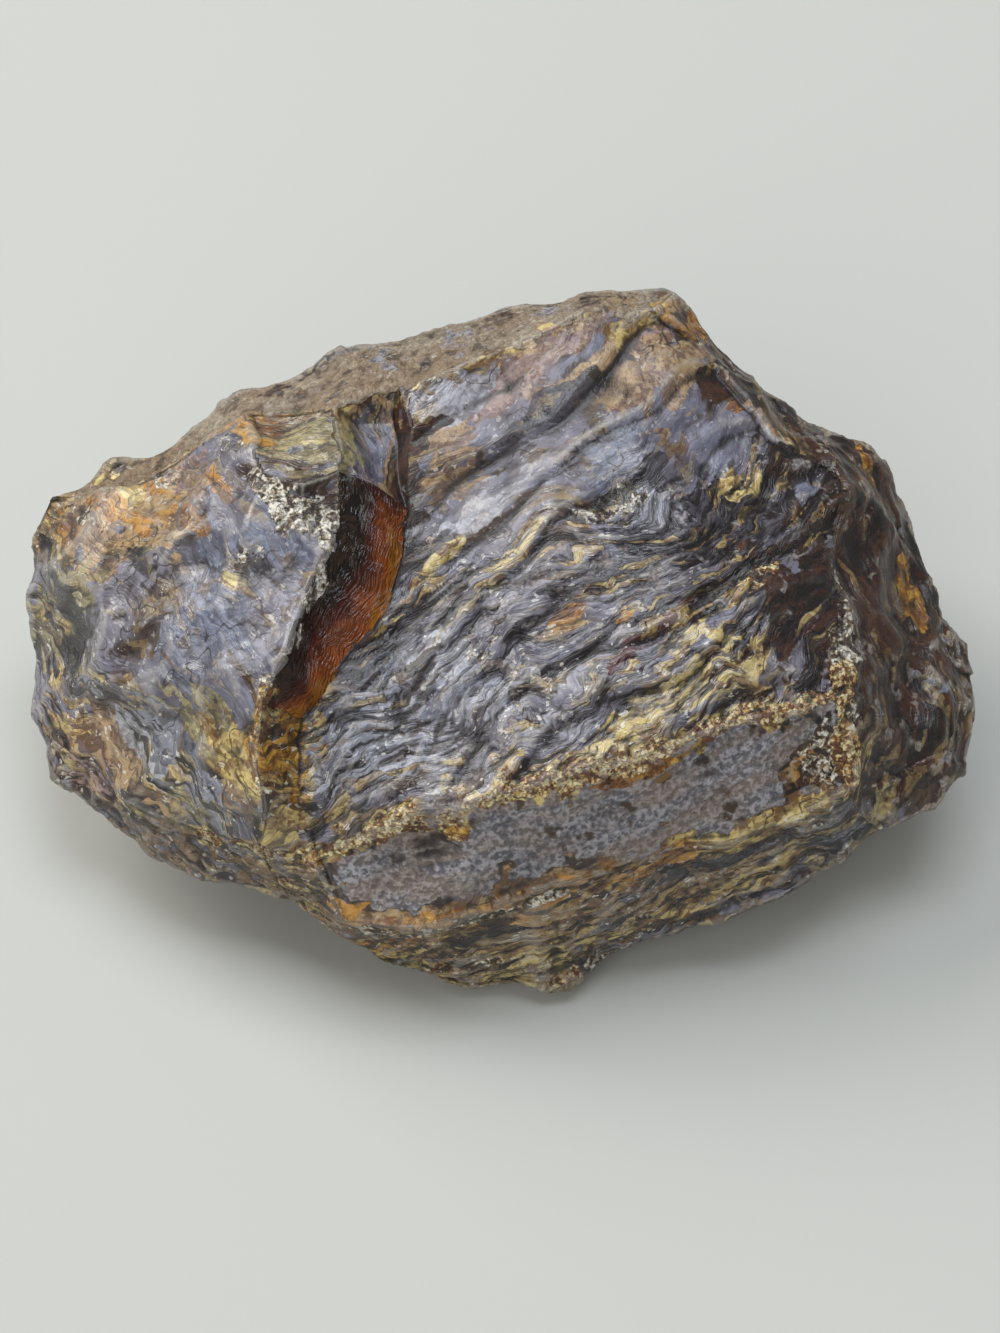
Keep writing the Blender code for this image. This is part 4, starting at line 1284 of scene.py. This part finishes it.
def build_amber():
    """The whole lump as one object in two materials: rough amber, and clear amber on the
    ledge where no crumbs cover it."""
    points, cells, owner, place, found = amber_surface()
    mesh = bpy.data.meshes.new("raw_amber_surface")
    moved = np.clip((points - (CENTRE[0], CENTRE[1], 0)) * MM, CAD_BOX[0], CAD_BOX[1])
    mesh.from_pydata(moved, [], cells)
    for name, labels in MASKS.items():
        add_mask(mesh, name, [found[label] for label in labels])
    flow = mesh.attributes.new("flow", "FLOAT_VECTOR", "POINT")
    flow.data.foreach_set("vector", place.ravel().astype(np.float32))
    groups = {"flow": flow_group(), "crumbs": crumbs_group(), "speckle": speckle_group(),
              "ragged": ragged_group()}
    mesh.materials.append(rough_amber(groups))
    mesh.materials.append(clear_amber(groups))
    ledge = (owner == list(REGIONS).index("red_ledge"))[cells].mean(1) > 0.5
    covered = found["cream"][cells].mean(1) > 0.45
    mesh.polygons.foreach_set("material_index", (ledge & ~covered).astype(np.int32))
    mesh.shade_smooth()
    mesh.update()
    lump = bpy.data.objects.new("raw_amber_lump", mesh)
    bpy.context.scene.collection.objects.link(lump)
    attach(lump, "root")
    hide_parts("raw_amber")


# The camera looks down on the lump from its front, 50 degrees above the table.
CAMERA_TILT = np.radians(50)
CAMERA_AWAY = 0.365
CAMERA_AIM = np.array([0.0007, -0.0064, 0.022])
CAMERA_LENS = 85
CAMERA_SENSOR = 36

# Softboxes: direction from the lump, distance and side in metres, power and colour.
SOFTBOXES = {
    "window": ((-0.62, 0.4, 0.68), 1.5, 0.9, 16, (1.0, 0.98, 0.95)),
    "front": ((-0.35, -0.75, 0.65), 1.4, 1.0, 6, (1.0, 0.99, 0.97)),
    "overhead": ((0.05, 0.12, 1.0), 1.2, 0.7, 8, (0.86, 0.92, 1.0)),
}
SKY_COLOUR = (0.97, 0.98, 1.0, 1.0)
SKY_STRENGTH = 0.24
FLOOR_REACH = 3.0           # metres from the lump to each side of the floor
FLOOR_LEVEL = -1e-4


def add_camera():
    """A camera at the viewing angle, aimed at the middle of the lump."""
    data = bpy.data.cameras.new("camera")
    data.lens = CAMERA_LENS
    data.sensor_width = CAMERA_SENSOR
    data.clip_start = 0.01
    camera = bpy.data.objects.new("camera", data)
    back = np.array([0, -np.cos(CAMERA_TILT), np.sin(CAMERA_TILT)])
    camera.location = CAMERA_AIM + CAMERA_AWAY * back
    camera.rotation_euler = (np.pi / 2 - CAMERA_TILT, 0, 0)
    bpy.context.scene.collection.objects.link(camera)
    bpy.context.scene.camera = camera


def add_softbox(name, towards, away, size, power, colour):
    """A square area light, away metres off in the direction towards, facing the lump."""
    data = bpy.data.lights.new(name, "AREA")
    data.size = size
    data.energy = power
    data.color = colour
    light = bpy.data.objects.new(name, data)
    reach = Vector(towards).normalized()
    light.location = reach * away
    light.rotation_euler = reach.to_track_quat("Z", "Y").to_euler()
    bpy.context.scene.collection.objects.link(light)


def add_floor():
    """A plain pale floor."""
    mesh = bpy.data.meshes.new("floor")
    corners = [(-1, -1), (1, -1), (1, 1), (-1, 1)]
    mesh.from_pydata(
        [(x * FLOOR_REACH, y * FLOOR_REACH, FLOOR_LEVEL) for x, y in corners], [], [(0, 1, 2, 3)])
    material, shader = new_material("pale_floor")
    shader.inputs["Base Color"].default_value = linear(*COLOURS["floor"])
    shader.inputs["Roughness"].default_value = 0.9
    mesh.materials.append(material)
    floor = bpy.data.objects.new("floor", mesh)
    bpy.context.scene.collection.objects.link(floor)


def add_sky():
    """Faint cool light from all round."""
    world = bpy.data.worlds.new("studio")
    world.use_nodes = True
    background = world.node_tree.nodes["Background"]
    background.inputs["Color"].default_value = SKY_COLOUR
    background.inputs["Strength"].default_value = SKY_STRENGTH
    bpy.context.scene.world = world
    bpy.context.scene.view_settings.view_transform = "Standard"


build_amber()
add_camera()
add_floor()
for name, box in SOFTBOXES.items():
    add_softbox(name, *box)
add_sky()
bpy.context.view_layer.update()
